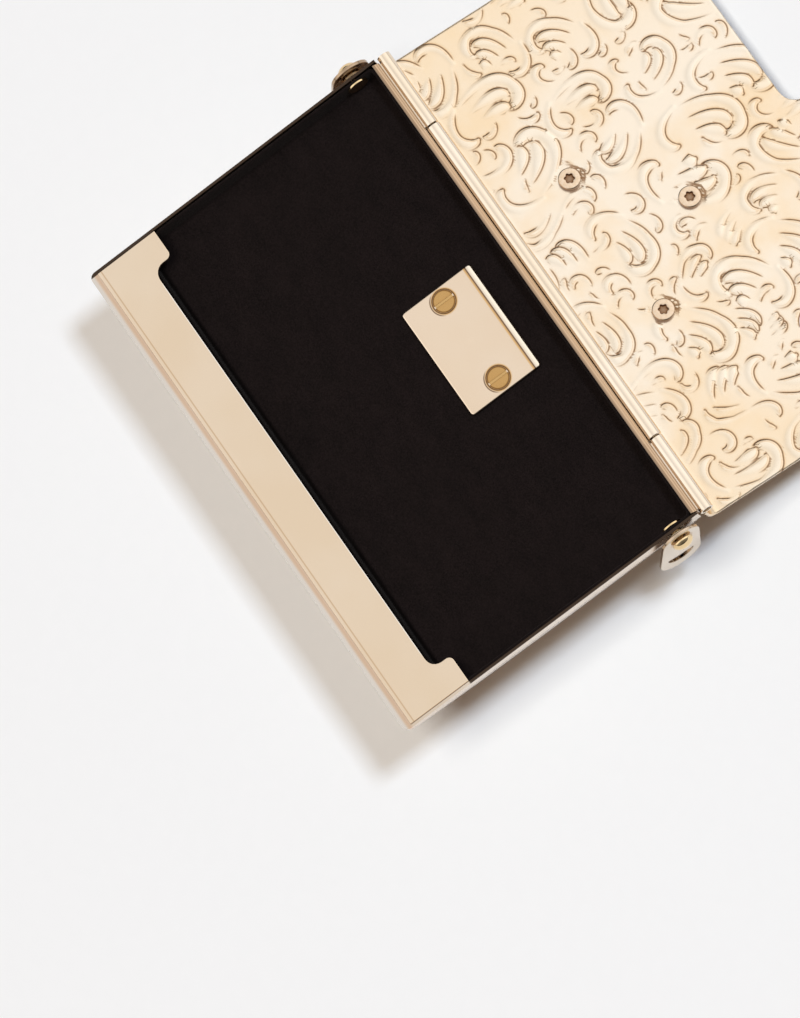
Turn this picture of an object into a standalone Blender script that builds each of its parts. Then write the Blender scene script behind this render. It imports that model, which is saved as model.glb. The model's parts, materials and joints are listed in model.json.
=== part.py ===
# Jeweled mini bag: a slim metal case with a suede-lined tray, a flap lid on a long
# barrel hinge, a chain lug on each side and a stone ornament screwed to the lid.
# The origin is the middle of the case's flat back. X runs along the hinge, +Y from
# the thin nose to the hinge, and +Z from the back to the rim. The lid stands open.

import math

import bmesh
import bpy
from mathutils import Matrix

# Fits, in metres as every length here
CLEARANCE = 0.0003          # gap between two pieces that touch
OVERRUN = 0.002             # how far a cutter runs past the faces that it cuts
HAIR = 0.00005              # least height of a rounded corner where it runs out
WELD = 0.000001             # points closer than this are one point

# Case
CASE_WIDTH = 0.1205
CASE_LENGTH = 0.0759
CASE_THICKNESS = 0.0105
CASE_SHEET = 0.0006
BACK_RADIUS = 0.007
NOSE_RUN = 0.044            # length over which the back rises to the nose
NOSE_ROUND = 0.00195        # length of the rounded front edge
NOSE_TIP_DEPTH = 0.0012     # depth of the foremost line below the rim
NOSE_TURN = 72              # degrees of the front edge's round that are kept
RECESS_DEPTH = 0.0057
SUEDE = 0.0006
LINING_DROP = 0.0005        # how far the lining stops below the rim

# Lip strip across the front of the tray
STRIP_SHEET = 0.0008
STRIP_WIDTH = 0.0102
STRIP_END_WIDTH = 0.0151
STRIP_END_LENGTH = 0.0066   # length of each wide end along the hinge direction
STRIP_CORNER = 0.0013       # round of each wide end's inner corner
STRIP_FILLET = 0.0026       # hollow between the wide end and the narrow middle

# Hinge
BARREL_RADIUS = 0.0015
BARREL_GAP = 0.00045        # from the case's hinge face to the barrel
BARREL_DEPTH = 0.0020       # depth of the hinge axis below the rim
PIN_RADIUS = 0.00075
PIN_INSET = 0.0004          # how far the pin's ends stop inside the barrel
CENTRE_KNUCKLE = 0.0827
LEAF_SHEET = 0.0008
LEAF_HEIGHT = 0.0032
LEAF_WEB = 0.0012           # height of the web that joins a knuckle to the leaf

# Lid
LID_SHEET = 0.0008
LID_RISE = 0.0053           # height of the closed lid over the rim, at the hinge
LID_EDGE_GAP = 0.0001       # from the closed lid's far edge to the strip's inner edge
LID_BEND = 0.003            # middle radius of the bend behind the barrel
LID_TUCK = 0.00015          # how far the lid's wall stands inside the barrel's outline
LID_OPEN_SLOPE = 15.6       # degrees that the open lid falls below level
TAB_WIDTH = 0.010
TAB_FILLET = 0.004
TAB_HOOK = 0.0036           # length of the hook that snaps over the nose
TAB_BEND = 0.0014

# Plate in the tray, and its slotted screws
PLATE_LENGTH = 0.0269
PLATE_WIDTH = 0.0181
PLATE_SHEET = 0.0010
PLATE_CORNER = 0.0003
PLATE_FROM_HINGE = 0.01785  # from the case's hinge face to the plate's middle
PLATE_SCREW_SPACING = 0.0203
PLATE_SCREW_RADIUS = 0.0025
PLATE_SCREW_HEAD = 0.0005
PLATE_SCREW_SHANK = 0.0012
PLATE_SCREW_LENGTH = 0.0032
SLOT_WIDTH = 0.0005
SLOT_DEPTH = 0.0003

# Lugs for the chain, on rivets through the side walls
LUG_SHEET = 0.0008
LUG_TOP_RADIUS = 0.0045
LUG_HALF_WIDTH = 0.0050
LUG_LENGTH = 0.0166         # from the rivet to the lug's lower end
LUG_SHOULDER = 0.0116       # from the rivet to where the lower round starts
LUG_SLOT_WIDTH = 0.0063
LUG_SLOT_HEIGHT = 0.0034
LUG_SLOT_DROP = 0.0098      # from the rivet to the slot's straight upper side
LUG_TILT = 16               # degrees that the hanging lug leans to the nose
RIVET_FROM_HINGE = 0.00605  # from the case's hinge face to the rivets
RIVET_DEPTH = 0.0026        # depth of the rivets below the rim
RIVET_RADIUS = 0.0011
RIVET_HEAD_RADIUS = 0.0024
RIVET_HEAD_HEIGHT = 0.0016
RIVET_DISC_SHEET = 0.0005
WASHER_RADIUS = 0.0021
WASHER_SHEET = 0.0004

# Ornament and its lobed screws
LID_SCREW_ROW = 0.0182      # from the hinge axis to the pair of screws
LID_SCREW_ROW_WIDTH = 0.0350
LID_SCREW_FAR = 0.0368      # from the hinge axis to the single screw
LID_SCREW_RADIUS = 0.0024
LID_SCREW_HEAD = 0.0012
LID_SCREW_ROUND = 0.0003    # round of the head's upper edge
LID_SCREW_SHANK = 0.0010
LID_SCREW_LENGTH = 0.0029
SOCKET_RADIUS = 0.0010
SOCKET_LOBE = 0.0002
SOCKET_DEPTH = 0.0006
ORNAMENT_LENGTH = 0.0460
ORNAMENT_WIDTH = 0.0330
ORNAMENT_SHEET = 0.0014
ORNAMENT_FROM_AXIS = 0.0265
ORNAMENT_EDGE = 0.0004      # bevel on the ornament plate
BOSS_RADIUS = 0.0024
BOSS_HEIGHT = 0.0012
BOSS_HOLE_DEPTH = 0.0020
COLLET_SHEET = 0.0005
COLLET_SINK = 0.0003        # how far a collet is let into the ornament plate
CENTRE_STONE_LENGTH = 0.0160
CENTRE_STONE_WIDTH = 0.0115
CENTRE_STONE_CROWN = 0.0018
CENTRE_STONE_PAVILION = 0.0024
RING_STONE_RADIUS = 0.0030
RING_STONE_CROWN = 0.0009
RING_STONE_PAVILION = 0.0015
RING_LENGTH = 0.0350        # long axis of the oval that the ring stones stand on
RING_WIDTH = 0.0225
GIRDLE = 0.0003             # thickness of a stone's edge
TABLE_SHARE = 0.58          # flat top of a stone, as a share of its width

# Counts
RING_STONES = 10
ROUND_STEPS = 6
NOSE_STEPS = 8
BEND_STEPS = 6
TURN_STEPS = 24
OVAL_STEPS = 40
SOCKET_STEPS = 36
STONE_SIDES = 8

# Places worked out from the sizes above
RIM_Z = CASE_THICKNESS
SIDE_DEPTH = CASE_THICKNESS - BACK_RADIUS
BACK_HALF = (CASE_LENGTH - NOSE_RUN - BACK_RADIUS) / 2
HINGE_FACE_Y = BACK_HALF + BACK_RADIUS
FOLD_Y = HINGE_FACE_Y - CASE_LENGTH + NOSE_ROUND
AXIS_Y = HINGE_FACE_Y + BARREL_GAP + BARREL_RADIUS
AXIS_Z = RIM_Z - BARREL_DEPTH
BORE_RADIUS = PIN_RADIUS + CLEARANCE
CASE_INSET = CASE_SHEET + CLEARANCE
LINING_INSET = LEAF_SHEET + CLEARANCE
STRIP_BACK_Y = FOLD_Y + STRIP_WIDTH
FLOOR_Z = RIM_Z - RECESS_DEPTH
RIVET_Y = HINGE_FACE_Y - RIVET_FROM_HINGE
RIVET_Z = RIM_Z - RIVET_DEPTH
PLATE_Y = HINGE_FACE_Y - PLATE_FROM_HINGE
LUG_FACE_X = CASE_WIDTH / 2 + CLEARANCE + WASHER_SHEET + CLEARANCE

# The closed lid falls from its rise at the hinge until it just clears the fold
LID_FALL = math.atan2(LID_RISE - CLEARANCE, AXIS_Y - FOLD_Y)
LID_DROP = (LID_RISE + BARREL_DEPTH) * math.cos(LID_FALL)
LID_OUTER_DROP = LID_DROP + LID_SHEET
LID_REACH = AXIS_Y - STRIP_BACK_Y - LID_EDGE_GAP


def clear_scene():
    for item in list(bpy.data.objects):
        bpy.data.objects.remove(item, do_unlink=True)


def make_material(name, colour, roughness, metallic):
    material = bpy.data.materials.new(name)
    material.use_nodes = True
    shader = material.node_tree.nodes["Principled BSDF"]
    shader.inputs["Base Color"].default_value = (*colour, 1.0)
    shader.inputs["Roughness"].default_value = roughness
    shader.inputs["Metallic"].default_value = metallic
    return material


def add_object(name, bm, material=None, parent=None, smooth_below=30):
    bmesh.ops.remove_doubles(bm, verts=bm.verts, dist=WELD)
    bmesh.ops.recalc_face_normals(bm, faces=bm.faces)
    mesh = bpy.data.meshes.new(name)
    bm.to_mesh(mesh)
    bm.free()
    mesh.shade_smooth()
    mesh.set_sharp_from_angle(angle=math.radians(smooth_below))
    if material:
        mesh.materials.append(material)
    item = bpy.data.objects.new(name, mesh)
    bpy.context.collection.objects.link(item)
    item.parent = parent
    return item


def add_pivot(name, location, turn):
    pivot = bpy.data.objects.new(name, None)
    pivot.location = location
    pivot.rotation_euler = (math.radians(turn), 0, 0)
    bpy.context.collection.objects.link(pivot)
    return pivot


def boolean(target, tool, operation):
    tool.hide_render = True
    tool.display_type = "WIRE"
    step = target.modifiers.new(operation.title(), "BOOLEAN")
    step.operation = operation
    step.solver = "EXACT"
    step.object = tool


# Solids from outlines and profiles


def loft(loops):
    # A closed solid through a row of closed loops with equal point counts.
    bm = bmesh.new()
    rings = [[bm.verts.new(point) for point in loop] for loop in loops]
    count = len(rings[0])
    for low, high in zip(rings, rings[1:]):
        for k in range(count):
            n = (k + 1) % count
            bm.faces.new((low[k], low[n], high[n], high[k]))
    bm.faces.new(rings[0])
    bm.faces.new(rings[-1])
    return bm


def prism(outline, low, high, axis="Z"):
    # An outline pushed from low to high along an axis.
    place = {
        "X": lambda a, b, level: (level, a, b),
        "Z": lambda a, b, level: (a, b, level),
    }[axis]
    return loft([[place(a, b, level) for a, b in outline] for level in (low, high)])


def box(low, high):
    outline = [(low[0], low[1]), (high[0], low[1]), (high[0], high[1]), (low[0], high[1])]
    return prism(outline, low[2], high[2])


def turned(profile, steps=TURN_STEPS, stretch=1.0, shift=0.0):
    # A profile of (radius, height) points turned about Z, with flat ends.
    loops = []
    for radius, height in profile:
        turn = [2 * math.pi * (k + shift) / steps for k in range(steps)]
        loops.append([(radius * math.cos(a), radius * stretch * math.sin(a), height) for a in turn])
    return loft(loops)


def cylinder(radius, low, high):
    return turned([(radius, low), (radius, high)])


def drill(radius, low, high):
    # A round cutter, half a step round from the pieces it cuts.
    return turned([(radius, low), (radius, high)], shift=0.5)


def placed(bm, centre, turn_axis=None):
    # Moves a solid that was made about Z to its centre, laid along X if asked.
    matrix = Matrix.Translation(centre)
    if turn_axis == "X":
        matrix = matrix @ Matrix.Rotation(math.radians(90), 4, "Y")
    bmesh.ops.transform(bm, matrix=matrix, verts=bm.verts)
    return bm


def arc(centre, radius, start, stop, steps, second=None):
    # Points on a round, or on an oval with a second radius, between two degrees.
    across = radius if second is None else second
    turn = [math.radians(start + (stop - start) * k / steps) for k in range(steps + 1)]
    return [(centre[0] + radius * math.cos(a), centre[1] + across * math.sin(a)) for a in turn]


def ribbon(line, thickness):
    # Outline of a bent sheet about its middle line.
    left = []
    right = []
    for k, (y, z) in enumerate(line):
        before = line[max(k - 1, 0)]
        after = line[min(k + 1, len(line) - 1)]
        along = math.hypot(after[0] - before[0], after[1] - before[1])
        normal = ((before[1] - after[1]) / along, (after[0] - before[0]) / along)
        left.append((y + normal[0] * thickness / 2, z + normal[1] * thickness / 2))
        right.append((y - normal[0] * thickness / 2, z - normal[1] * thickness / 2))
    return left + right[::-1]


# The case's form


def case_depth(y, inset):
    # Depth of the back below the rim: an ellipse to the nose, a round to the hinge.
    if y < -BACK_HALF:
        share = min(1.0, (-BACK_HALF - y) / NOSE_RUN)
        rise = CASE_THICKNESS - NOSE_TIP_DEPTH
        return NOSE_TIP_DEPTH + rise * math.sqrt(1 - share * share) - inset
    radius = BACK_RADIUS - inset
    share = min(1.0, max(0.0, (y - BACK_HALF) / radius))
    return SIDE_DEPTH + max(radius * math.sqrt(1 - share * share), HAIR)


def rim_height(y):
    # The rim is level, and rounds over in front of the fold.
    share = min(1.0, max(0.0, (FOLD_Y - y) / NOSE_ROUND))
    return RIM_Z - NOSE_TIP_DEPTH * (1 - math.sqrt(1 - share * share))


def case_section(y, inset, low, high):
    # Outline across the case at y: straight walls that round into the back.
    rim = rim_height(y)
    bottom = RIM_Z - case_depth(y, inset)
    if y < -BACK_HALF:
        full = CASE_THICKNESS - inset
        wall = (rim - bottom) * SIDE_DEPTH / full
        round_x = (BACK_RADIUS - inset) * (rim - bottom) / full
    else:
        wall = SIDE_DEPTH
        round_x = rim - bottom - wall
    round_z = rim - bottom - wall
    corner = rim - wall
    top = min(rim, high) if high < RIM_Z else max(rim, high)
    floor = max(bottom, low)
    last = math.asin(min(1.0, (corner - floor) / round_z))
    if top > corner:
        first = 0.0
        steps = ROUND_STEPS
        heights = [(0.0, top)]
    else:
        first = math.asin((corner - top) / round_z)
        steps = ROUND_STEPS + 1
        heights = []
    for k in range(steps + 1):
        a = first + (last - first) * k / steps
        heights.append((round_x * (1 - math.cos(a)), corner - round_z * math.sin(a)))
    half = CASE_WIDTH / 2 - inset
    left = [(-half + inward, y, z) for inward, z in heights]
    right = [(half - inward, y, z) for inward, z in reversed(heights)]
    return left + right


def case_stations(start, stop, inset):
    # Places along Y where the form is cut: close together where it bends.
    ends = [math.radians(NOSE_TURN * k / ROUND_STEPS) for k in range(ROUND_STEPS, 0, -1)]
    places = [FOLD_Y - NOSE_ROUND * math.sin(a) for a in ends]
    first = math.acos((-BACK_HALF - FOLD_Y) / NOSE_RUN)
    for k in range(NOSE_STEPS + 1):
        a = first + (math.pi / 2 - first) * k / NOSE_STEPS
        places.append(-BACK_HALF - NOSE_RUN * math.cos(a))
    for k in range(ROUND_STEPS + 1):
        a = math.pi / 2 * k / ROUND_STEPS
        places.append(BACK_HALF + (BACK_RADIUS - inset) * math.sin(a))
    inside = [y for y in places if start + HAIR < y < stop - HAIR]
    return [start] + inside + [stop]


def case_form(inset, start, stop, low=-OVERRUN, high=RIM_Z):
    stations = case_stations(start, stop, inset)
    return loft([case_section(y, inset, low, high) for y in stations])


def case_tip():
    return FOLD_Y - NOSE_ROUND * math.sin(math.radians(NOSE_TURN))


def depth_place(depth, inset):
    # Where, towards the hinge, the form's back is at a given depth.
    radius = BACK_RADIUS - inset
    share = (depth - SIDE_DEPTH) / radius
    return BACK_HALF + radius * math.sqrt(1 - share * share)


def rivet_holes(target):
    # Both side walls are drilled for the lug rivets.
    for side, name in ((-1, "left"), (1, "right")):
        hole = drill(RIVET_RADIUS + CLEARANCE, -OVERRUN, OVERRUN)
        placed(hole, (side * CASE_WIDTH / 2, RIVET_Y, RIVET_Z), "X")
        boolean(target, add_object(f"{target.name}_rivet_cut_{name}", hole), "DIFFERENCE")


def plate_screw_places():
    return [(side * PLATE_SCREW_SPACING / 2, PLATE_Y) for side in (-1, 1)]


def plate_screw_levels():
    # Top of the head, underside of the head, and end of the shank.
    top = FLOOR_Z + CLEARANCE + PLATE_SHEET
    neck = top - PLATE_SCREW_HEAD
    return top, neck, neck - PLATE_SCREW_LENGTH


def plate_holes(target, low, high):
    for k, (x, y) in enumerate(plate_screw_places()):
        hole = placed(drill(PLATE_SCREW_SHANK + CLEARANCE, low, high), (x, y, 0))
        boolean(target, add_object(f"{target.name}_hole_cut_{k}", hole), "DIFFERENCE")


# Pieces of the case


def build_case_shell(gold):
    shell = add_object("case_shell", case_form(0, case_tip(), HINGE_FACE_Y), gold)
    hollow = case_form(CASE_SHEET, FOLD_Y, HINGE_FACE_Y - CASE_SHEET, high=RIM_Z + OVERRUN)
    boolean(shell, add_object("case_hollow_cut", hollow), "DIFFERENCE")
    half = CASE_WIDTH / 2 - CASE_SHEET
    leaf_seat = RIM_Z - LEAF_HEIGHT - CLEARANCE
    low = (-half, HINGE_FACE_Y - LEAF_SHEET - CLEARANCE, leaf_seat)
    high = (half, HINGE_FACE_Y + OVERRUN, RIM_Z + OVERRUN)
    boolean(shell, add_object("leaf_seat_cut", box(low, high)), "DIFFERENCE")
    rivet_holes(shell)


def strip_outline():
    # Half of the strip's plan, then its mirror: wide end, corner, hollow, middle.
    half = CASE_WIDTH / 2 - CASE_SHEET - CLEARANCE
    front = FOLD_Y + CLEARANCE
    wide = FOLD_Y + STRIP_END_WIDTH
    step = half - STRIP_END_LENGTH
    corner = arc((step + STRIP_CORNER, wide - STRIP_CORNER), STRIP_CORNER, 90, 180, ROUND_STEPS)
    hollow = arc((step - STRIP_FILLET, STRIP_BACK_Y + STRIP_FILLET), STRIP_FILLET, 0, -90, ROUND_STEPS)
    right = [(half, front), (half, wide)] + corner + hollow
    return right + [(-x, y) for x, y in reversed(right)]


def build_front_lip_strip(gold):
    add_object("front_lip_strip", prism(strip_outline(), RIM_Z - STRIP_SHEET, RIM_Z), gold)


def build_strip_block(board):
    top = RIM_Z - STRIP_SHEET - CLEARANCE
    stop = STRIP_BACK_Y - CLEARANCE
    add_object("strip_block", case_form(CASE_INSET, FOLD_Y + CLEARANCE, stop, high=top), board)


def build_case_core(board):
    top = FLOOR_Z - SUEDE - CLEARANCE
    start = STRIP_BACK_Y + CLEARANCE
    stop = depth_place(RIM_Z - top + SUEDE, CASE_INSET)
    core = add_object("case_core", case_form(CASE_INSET, start, stop, high=top), board)
    plate_holes(core, plate_screw_levels()[2] - CLEARANCE, top + OVERRUN)


def build_suede_liner(suede):
    # A tray of suede that follows the case's inside, with its floor flat.
    start = STRIP_BACK_Y
    stop = HINGE_FACE_Y - LINING_INSET
    top = RIM_Z - LINING_DROP
    outside = case_form(LINING_INSET, start, stop, FLOOR_Z - SUEDE, top)
    liner = add_object("suede_liner", outside, suede)
    pocket = case_form(LINING_INSET + SUEDE, start + SUEDE, stop - SUEDE, FLOOR_Z, RIM_Z + OVERRUN)
    boolean(liner, add_object("liner_pocket_cut", pocket), "DIFFERENCE")
    shoulders = prism(strip_clearance_outline(), RIM_Z - STRIP_SHEET - CLEARANCE, RIM_Z + OVERRUN)
    boolean(liner, add_object("liner_strip_cut", shoulders), "DIFFERENCE")
    plate_holes(liner, FLOOR_Z - OVERRUN, FLOOR_Z + OVERRUN)
    rivet_holes(liner)


def strip_clearance_outline():
    # Room for the strip's wide ends above the lining.
    half = CASE_WIDTH / 2
    wide = FOLD_Y + STRIP_END_WIDTH + CLEARANCE
    return [(-half, FOLD_Y), (half, FOLD_Y), (half, wide), (-half, wide)]


def build_inner_plate(gold):
    low = FLOOR_Z + CLEARANCE
    half_x = PLATE_LENGTH / 2
    half_y = PLATE_WIDTH / 2
    bm = box((-half_x, PLATE_Y - half_y, low), (half_x, PLATE_Y + half_y, low + PLATE_SHEET))
    plate = add_object("inner_plate", bm, gold)
    edge = plate.modifiers.new("Edges", "BEVEL")
    edge.width = PLATE_CORNER
    edge.segments = 1
    hole = PLATE_SCREW_SHANK + CLEARANCE
    cup = PLATE_SCREW_RADIUS + CLEARANCE
    seat = low + PLATE_SHEET - PLATE_SCREW_HEAD - CLEARANCE
    profile = [(hole, low - OVERRUN), (hole, seat), (cup, seat), (cup, low + OVERRUN)]
    for k, (x, y) in enumerate(plate_screw_places()):
        cutter = placed(turned(profile, shift=0.5), (x, y, 0))
        boolean(plate, add_object(f"plate_cup_cut_{k}", cutter), "DIFFERENCE")


def build_plate_screws(brass):
    top, neck, end = plate_screw_levels()
    profile = [(PLATE_SCREW_SHANK, end), (PLATE_SCREW_SHANK, neck)]
    profile += [(PLATE_SCREW_RADIUS, neck), (PLATE_SCREW_RADIUS, top)]
    for (x, y), name in zip(plate_screw_places(), ("left", "right")):
        screw = add_object("plate_screw_" + name, placed(turned(profile), (x, y, 0)), brass)
        reach = PLATE_SCREW_RADIUS + OVERRUN
        low = (x - SLOT_WIDTH / 2, y - reach, top - SLOT_DEPTH)
        high = (x + SLOT_WIDTH / 2, y + reach, top + OVERRUN)
        boolean(screw, add_object(f"plate_slot_cut_{name}", box(low, high)), "DIFFERENCE")


# Hinge


def barrel_tube(low, high):
    bm = cylinder(BARREL_RADIUS, low, high)
    return placed(bm, (0, AXIS_Y, AXIS_Z), "X")


def build_hinge_leaf(gold):
    # The strip on the case's hinge wall, with the two outer knuckles on webs.
    half = CASE_WIDTH / 2 - CASE_SHEET - CLEARANCE
    low = (-half, HINGE_FACE_Y - LEAF_SHEET, RIM_Z - LEAF_HEIGHT)
    leaf = add_object("hinge_leaf", box(low, (half, HINGE_FACE_Y, RIM_Z)), gold)
    inner = CENTRE_KNUCKLE / 2 + CLEARANCE
    outer = CASE_WIDTH / 2
    bore = drill(BORE_RADIUS, -outer - OVERRUN, outer + OVERRUN)
    for side, name in ((-1, "left"), (1, "right")):
        ends = sorted((side * inner, side * outer))
        tube = add_object(f"knuckle_tool_{name}", barrel_tube(*ends))
        boolean(leaf, tube, "UNION")
        web_ends = sorted((side * (inner + CLEARANCE), side * (half - CLEARANCE)))
        web_low = (web_ends[0], HINGE_FACE_Y - LEAF_SHEET / 2, AXIS_Z - LEAF_WEB / 2)
        web_high = (web_ends[1], AXIS_Y - (BORE_RADIUS + BARREL_RADIUS) / 2, AXIS_Z + LEAF_WEB / 2)
        boolean(leaf, add_object(f"web_tool_{name}", box(web_low, web_high)), "UNION")
    placed(bore, (0, AXIS_Y, AXIS_Z), "X")
    boolean(leaf, add_object("leaf_bore_cut", bore), "DIFFERENCE")


def build_hinge_pin(steel):
    reach = CASE_WIDTH / 2 - PIN_INSET
    pin = placed(cylinder(PIN_RADIUS, -reach, reach), (0, AXIS_Y, AXIS_Z), "X")
    add_object("hinge_pin", pin, steel)


# Lid, in a frame whose Y runs along the panel from the hinge axis


def lid_profile():
    # Middle line of the lid's sheet: wall, bend, panel, tab and hook.
    slope = math.radians(LID_OPEN_SLOPE)
    lean = (math.sin(slope), -math.cos(slope))
    side = BARREL_RADIUS - LID_TUCK - LID_SHEET / 2
    start = (-side * math.cos(slope), -side * math.sin(slope))
    level = -LID_DROP - LID_SHEET / 2
    wall = (level - start[1]) / lean[1]
    corner_y = start[0] + lean[0] * wall
    turn = 90 - LID_OPEN_SLOPE
    tangent = LID_BEND * math.tan(math.radians(turn / 2))
    centre = (corner_y + tangent, level + LID_BEND)
    bend = arc(centre, LID_BEND, 270 - turn, 270, BEND_STEPS)
    hook_y = hook_place() + LID_SHEET / 2
    hook = arc((hook_y - TAB_BEND, level + TAB_BEND), TAB_BEND, 270, 360, BEND_STEPS)
    return [start] + bend + hook + [(hook_y, level + TAB_HOOK)]


def hook_place():
    # The hook's inner face stands just in front of the nose when the lid is closed.
    reach = AXIS_Y - case_tip() + CLEARANCE
    return reach / math.cos(LID_FALL) - LID_DROP * math.tan(LID_FALL)


def lid_corner_outline(side):
    # What is cut from the far end beside the tab, with the fillet at the tab's root.
    half = CASE_WIDTH / 2 + OVERRUN
    far = hook_place() + LID_SHEET + OVERRUN
    root = TAB_WIDTH / 2
    centre = (root + TAB_FILLET, LID_REACH + TAB_FILLET)
    fillet = arc(centre, TAB_FILLET, 270, 180, ROUND_STEPS)
    outline = [(half, LID_REACH)] + fillet + [(root, far), (half, far)]
    return [(side * x, y) for x, y in outline]


def lid_screw_places():
    row = LID_SCREW_ROW_WIDTH / 2
    return {"left": (-row, LID_SCREW_ROW), "right": (row, LID_SCREW_ROW), "far": (0, LID_SCREW_FAR)}


def build_lid_shell(gold, pivot):
    half = CASE_WIDTH / 2
    lid = add_object("lid_shell", prism(ribbon(lid_profile(), LID_SHEET), -half, half, "X"), gold, pivot)
    reach = CENTRE_KNUCKLE / 2 - CLEARANCE
    knuckle = placed(cylinder(BARREL_RADIUS, -reach, reach), (0, 0, 0), "X")
    boolean(lid, add_object("lid_knuckle_tool", knuckle, parent=pivot), "UNION")
    bore = placed(drill(BORE_RADIUS, -half - OVERRUN, half + OVERRUN), (0, 0, 0), "X")
    boolean(lid, add_object("lid_bore_cut", bore, parent=pivot), "DIFFERENCE")
    room = BARREL_RADIUS + CLEARANCE
    for side, name in ((-1, "left"), (1, "right")):
        ends = sorted((side * CENTRE_KNUCKLE / 2, side * (half + OVERRUN)))
        notch = placed(drill(room, *ends), (0, 0, 0), "X")
        boolean(lid, add_object(f"knuckle_room_cut_{name}", notch, parent=pivot), "DIFFERENCE")
        low = -LID_OUTER_DROP - OVERRUN
        corner = prism(lid_corner_outline(side), low, low + LID_OUTER_DROP + OVERRUN)
        boolean(lid, add_object(f"lid_corner_cut_{name}", corner, parent=pivot), "DIFFERENCE")
    for name, (x, y) in lid_screw_places().items():
        hole = drill(LID_SCREW_SHANK + CLEARANCE, -LID_OUTER_DROP - OVERRUN, -LID_DROP + OVERRUN)
        placed(hole, (x, y, 0))
        boolean(lid, add_object(f"lid_hole_cut_{name}", hole, parent=pivot), "DIFFERENCE")


def socket_outline():
    turn = [2 * math.pi * (k + 0.25) / SOCKET_STEPS for k in range(SOCKET_STEPS)]
    radii = [SOCKET_RADIUS + SOCKET_LOBE * math.cos(6 * a) for a in turn]
    return [(r * math.cos(a), r * math.sin(a)) for r, a in zip(radii, turn)]


def build_lid_screws(gold, pivot):
    # Flat-topped round heads on the lid's inner face, each with a six-lobed socket.
    seat = -LID_DROP + CLEARANCE
    top = seat + LID_SCREW_HEAD
    end = seat - LID_SCREW_LENGTH
    edge = arc((LID_SCREW_RADIUS - LID_SCREW_ROUND, top - LID_SCREW_ROUND), LID_SCREW_ROUND, 0, 90, ROUND_STEPS)
    profile = [(LID_SCREW_SHANK, end), (LID_SCREW_SHANK, seat), (LID_SCREW_RADIUS, seat)] + edge
    for name, (x, y) in lid_screw_places().items():
        screw = add_object("lid_screw_" + name, placed(turned(profile), (x, y, 0)), gold, pivot)
        socket = placed(prism(socket_outline(), top - SOCKET_DEPTH, top + OVERRUN), (x, y, 0))
        boolean(screw, add_object(f"socket_cut_{name}", socket, parent=pivot), "DIFFERENCE")


# Ornament on the lid's outer face


def oval(length, width, steps=OVAL_STEPS):
    return arc((0, ORNAMENT_FROM_AXIS), length / 2, 0, 360, steps, width / 2)[:-1]


def ring_places():
    # Equal steps of length round the oval, found by walking its outline.
    fine = oval(RING_LENGTH, RING_WIDTH, OVAL_STEPS * ROUND_STEPS)
    steps = [math.dist(one, two) for one, two in zip(fine, fine[1:] + fine[:1])]
    pitch = sum(steps) / RING_STONES
    places = []
    walked = pitch / 2
    for point, step in zip(fine, steps):
        if walked >= pitch:
            places.append(point)
            walked -= pitch
        walked += step
    return places


def oval_cylinder(rx, ry, low, high):
    return turned([(rx, low), (rx, high)], stretch=ry / rx)


def ornament_levels():
    # Heights along the lid's Z, which falls away from the lid's outer face.
    back = -LID_OUTER_DROP - CLEARANCE
    plate_back = back - BOSS_HEIGHT
    plate_front = plate_back - ORNAMENT_SHEET
    return back, plate_back, plate_front


def stone_seats():
    # Centre, half sizes, crown and pavilion of every stone.
    seats = [((0, ORNAMENT_FROM_AXIS), CENTRE_STONE_LENGTH / 2, CENTRE_STONE_WIDTH / 2,
              CENTRE_STONE_CROWN, CENTRE_STONE_PAVILION)]
    for place in ring_places():
        seats.append((place, RING_STONE_RADIUS, RING_STONE_RADIUS, RING_STONE_CROWN, RING_STONE_PAVILION))
    return seats


def build_ornament_base(gold, pivot):
    back, plate_back, plate_front = ornament_levels()
    outline = oval(ORNAMENT_LENGTH, ORNAMENT_WIDTH)
    base = add_object("ornament_base", prism(outline, plate_front, plate_back), gold, pivot)
    edge = base.modifiers.new("Edges", "BEVEL")
    edge.width = ORNAMENT_EDGE
    edge.segments = 1
    for name, (x, y) in lid_screw_places().items():
        boss = placed(cylinder(BOSS_RADIUS, plate_back - OVERRUN / 2, back), (x, y, 0))
        boolean(base, add_object(f"boss_tool_{name}", boss, parent=pivot), "UNION")
    for name, (x, y) in lid_screw_places().items():
        hole = drill(LID_SCREW_SHANK + CLEARANCE, back - BOSS_HOLE_DEPTH, back + OVERRUN)
        placed(hole, (x, y, 0))
        boolean(base, add_object(f"boss_hole_cut_{name}", hole, parent=pivot), "DIFFERENCE")
    for k, ((x, y), rx, ry, crown, pavilion) in enumerate(stone_seats()):
        low = plate_front - CLEARANCE - pavilion - GIRDLE
        wall = CLEARANCE + COLLET_SHEET
        outer = oval_cylinder(rx + wall, ry + wall, low, plate_front + COLLET_SINK)
        placed(outer, (x, y, 0))
        boolean(base, add_object(f"collet_tool_{k}", outer, parent=pivot), "UNION")
        floor = plate_front + COLLET_SINK / 2
        pocket = oval_cylinder(rx + CLEARANCE, ry + CLEARANCE, low - OVERRUN, floor)
        placed(pocket, (x, y, 0))
        boolean(base, add_object(f"collet_cut_{k}", pocket, parent=pivot), "DIFFERENCE")


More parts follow.
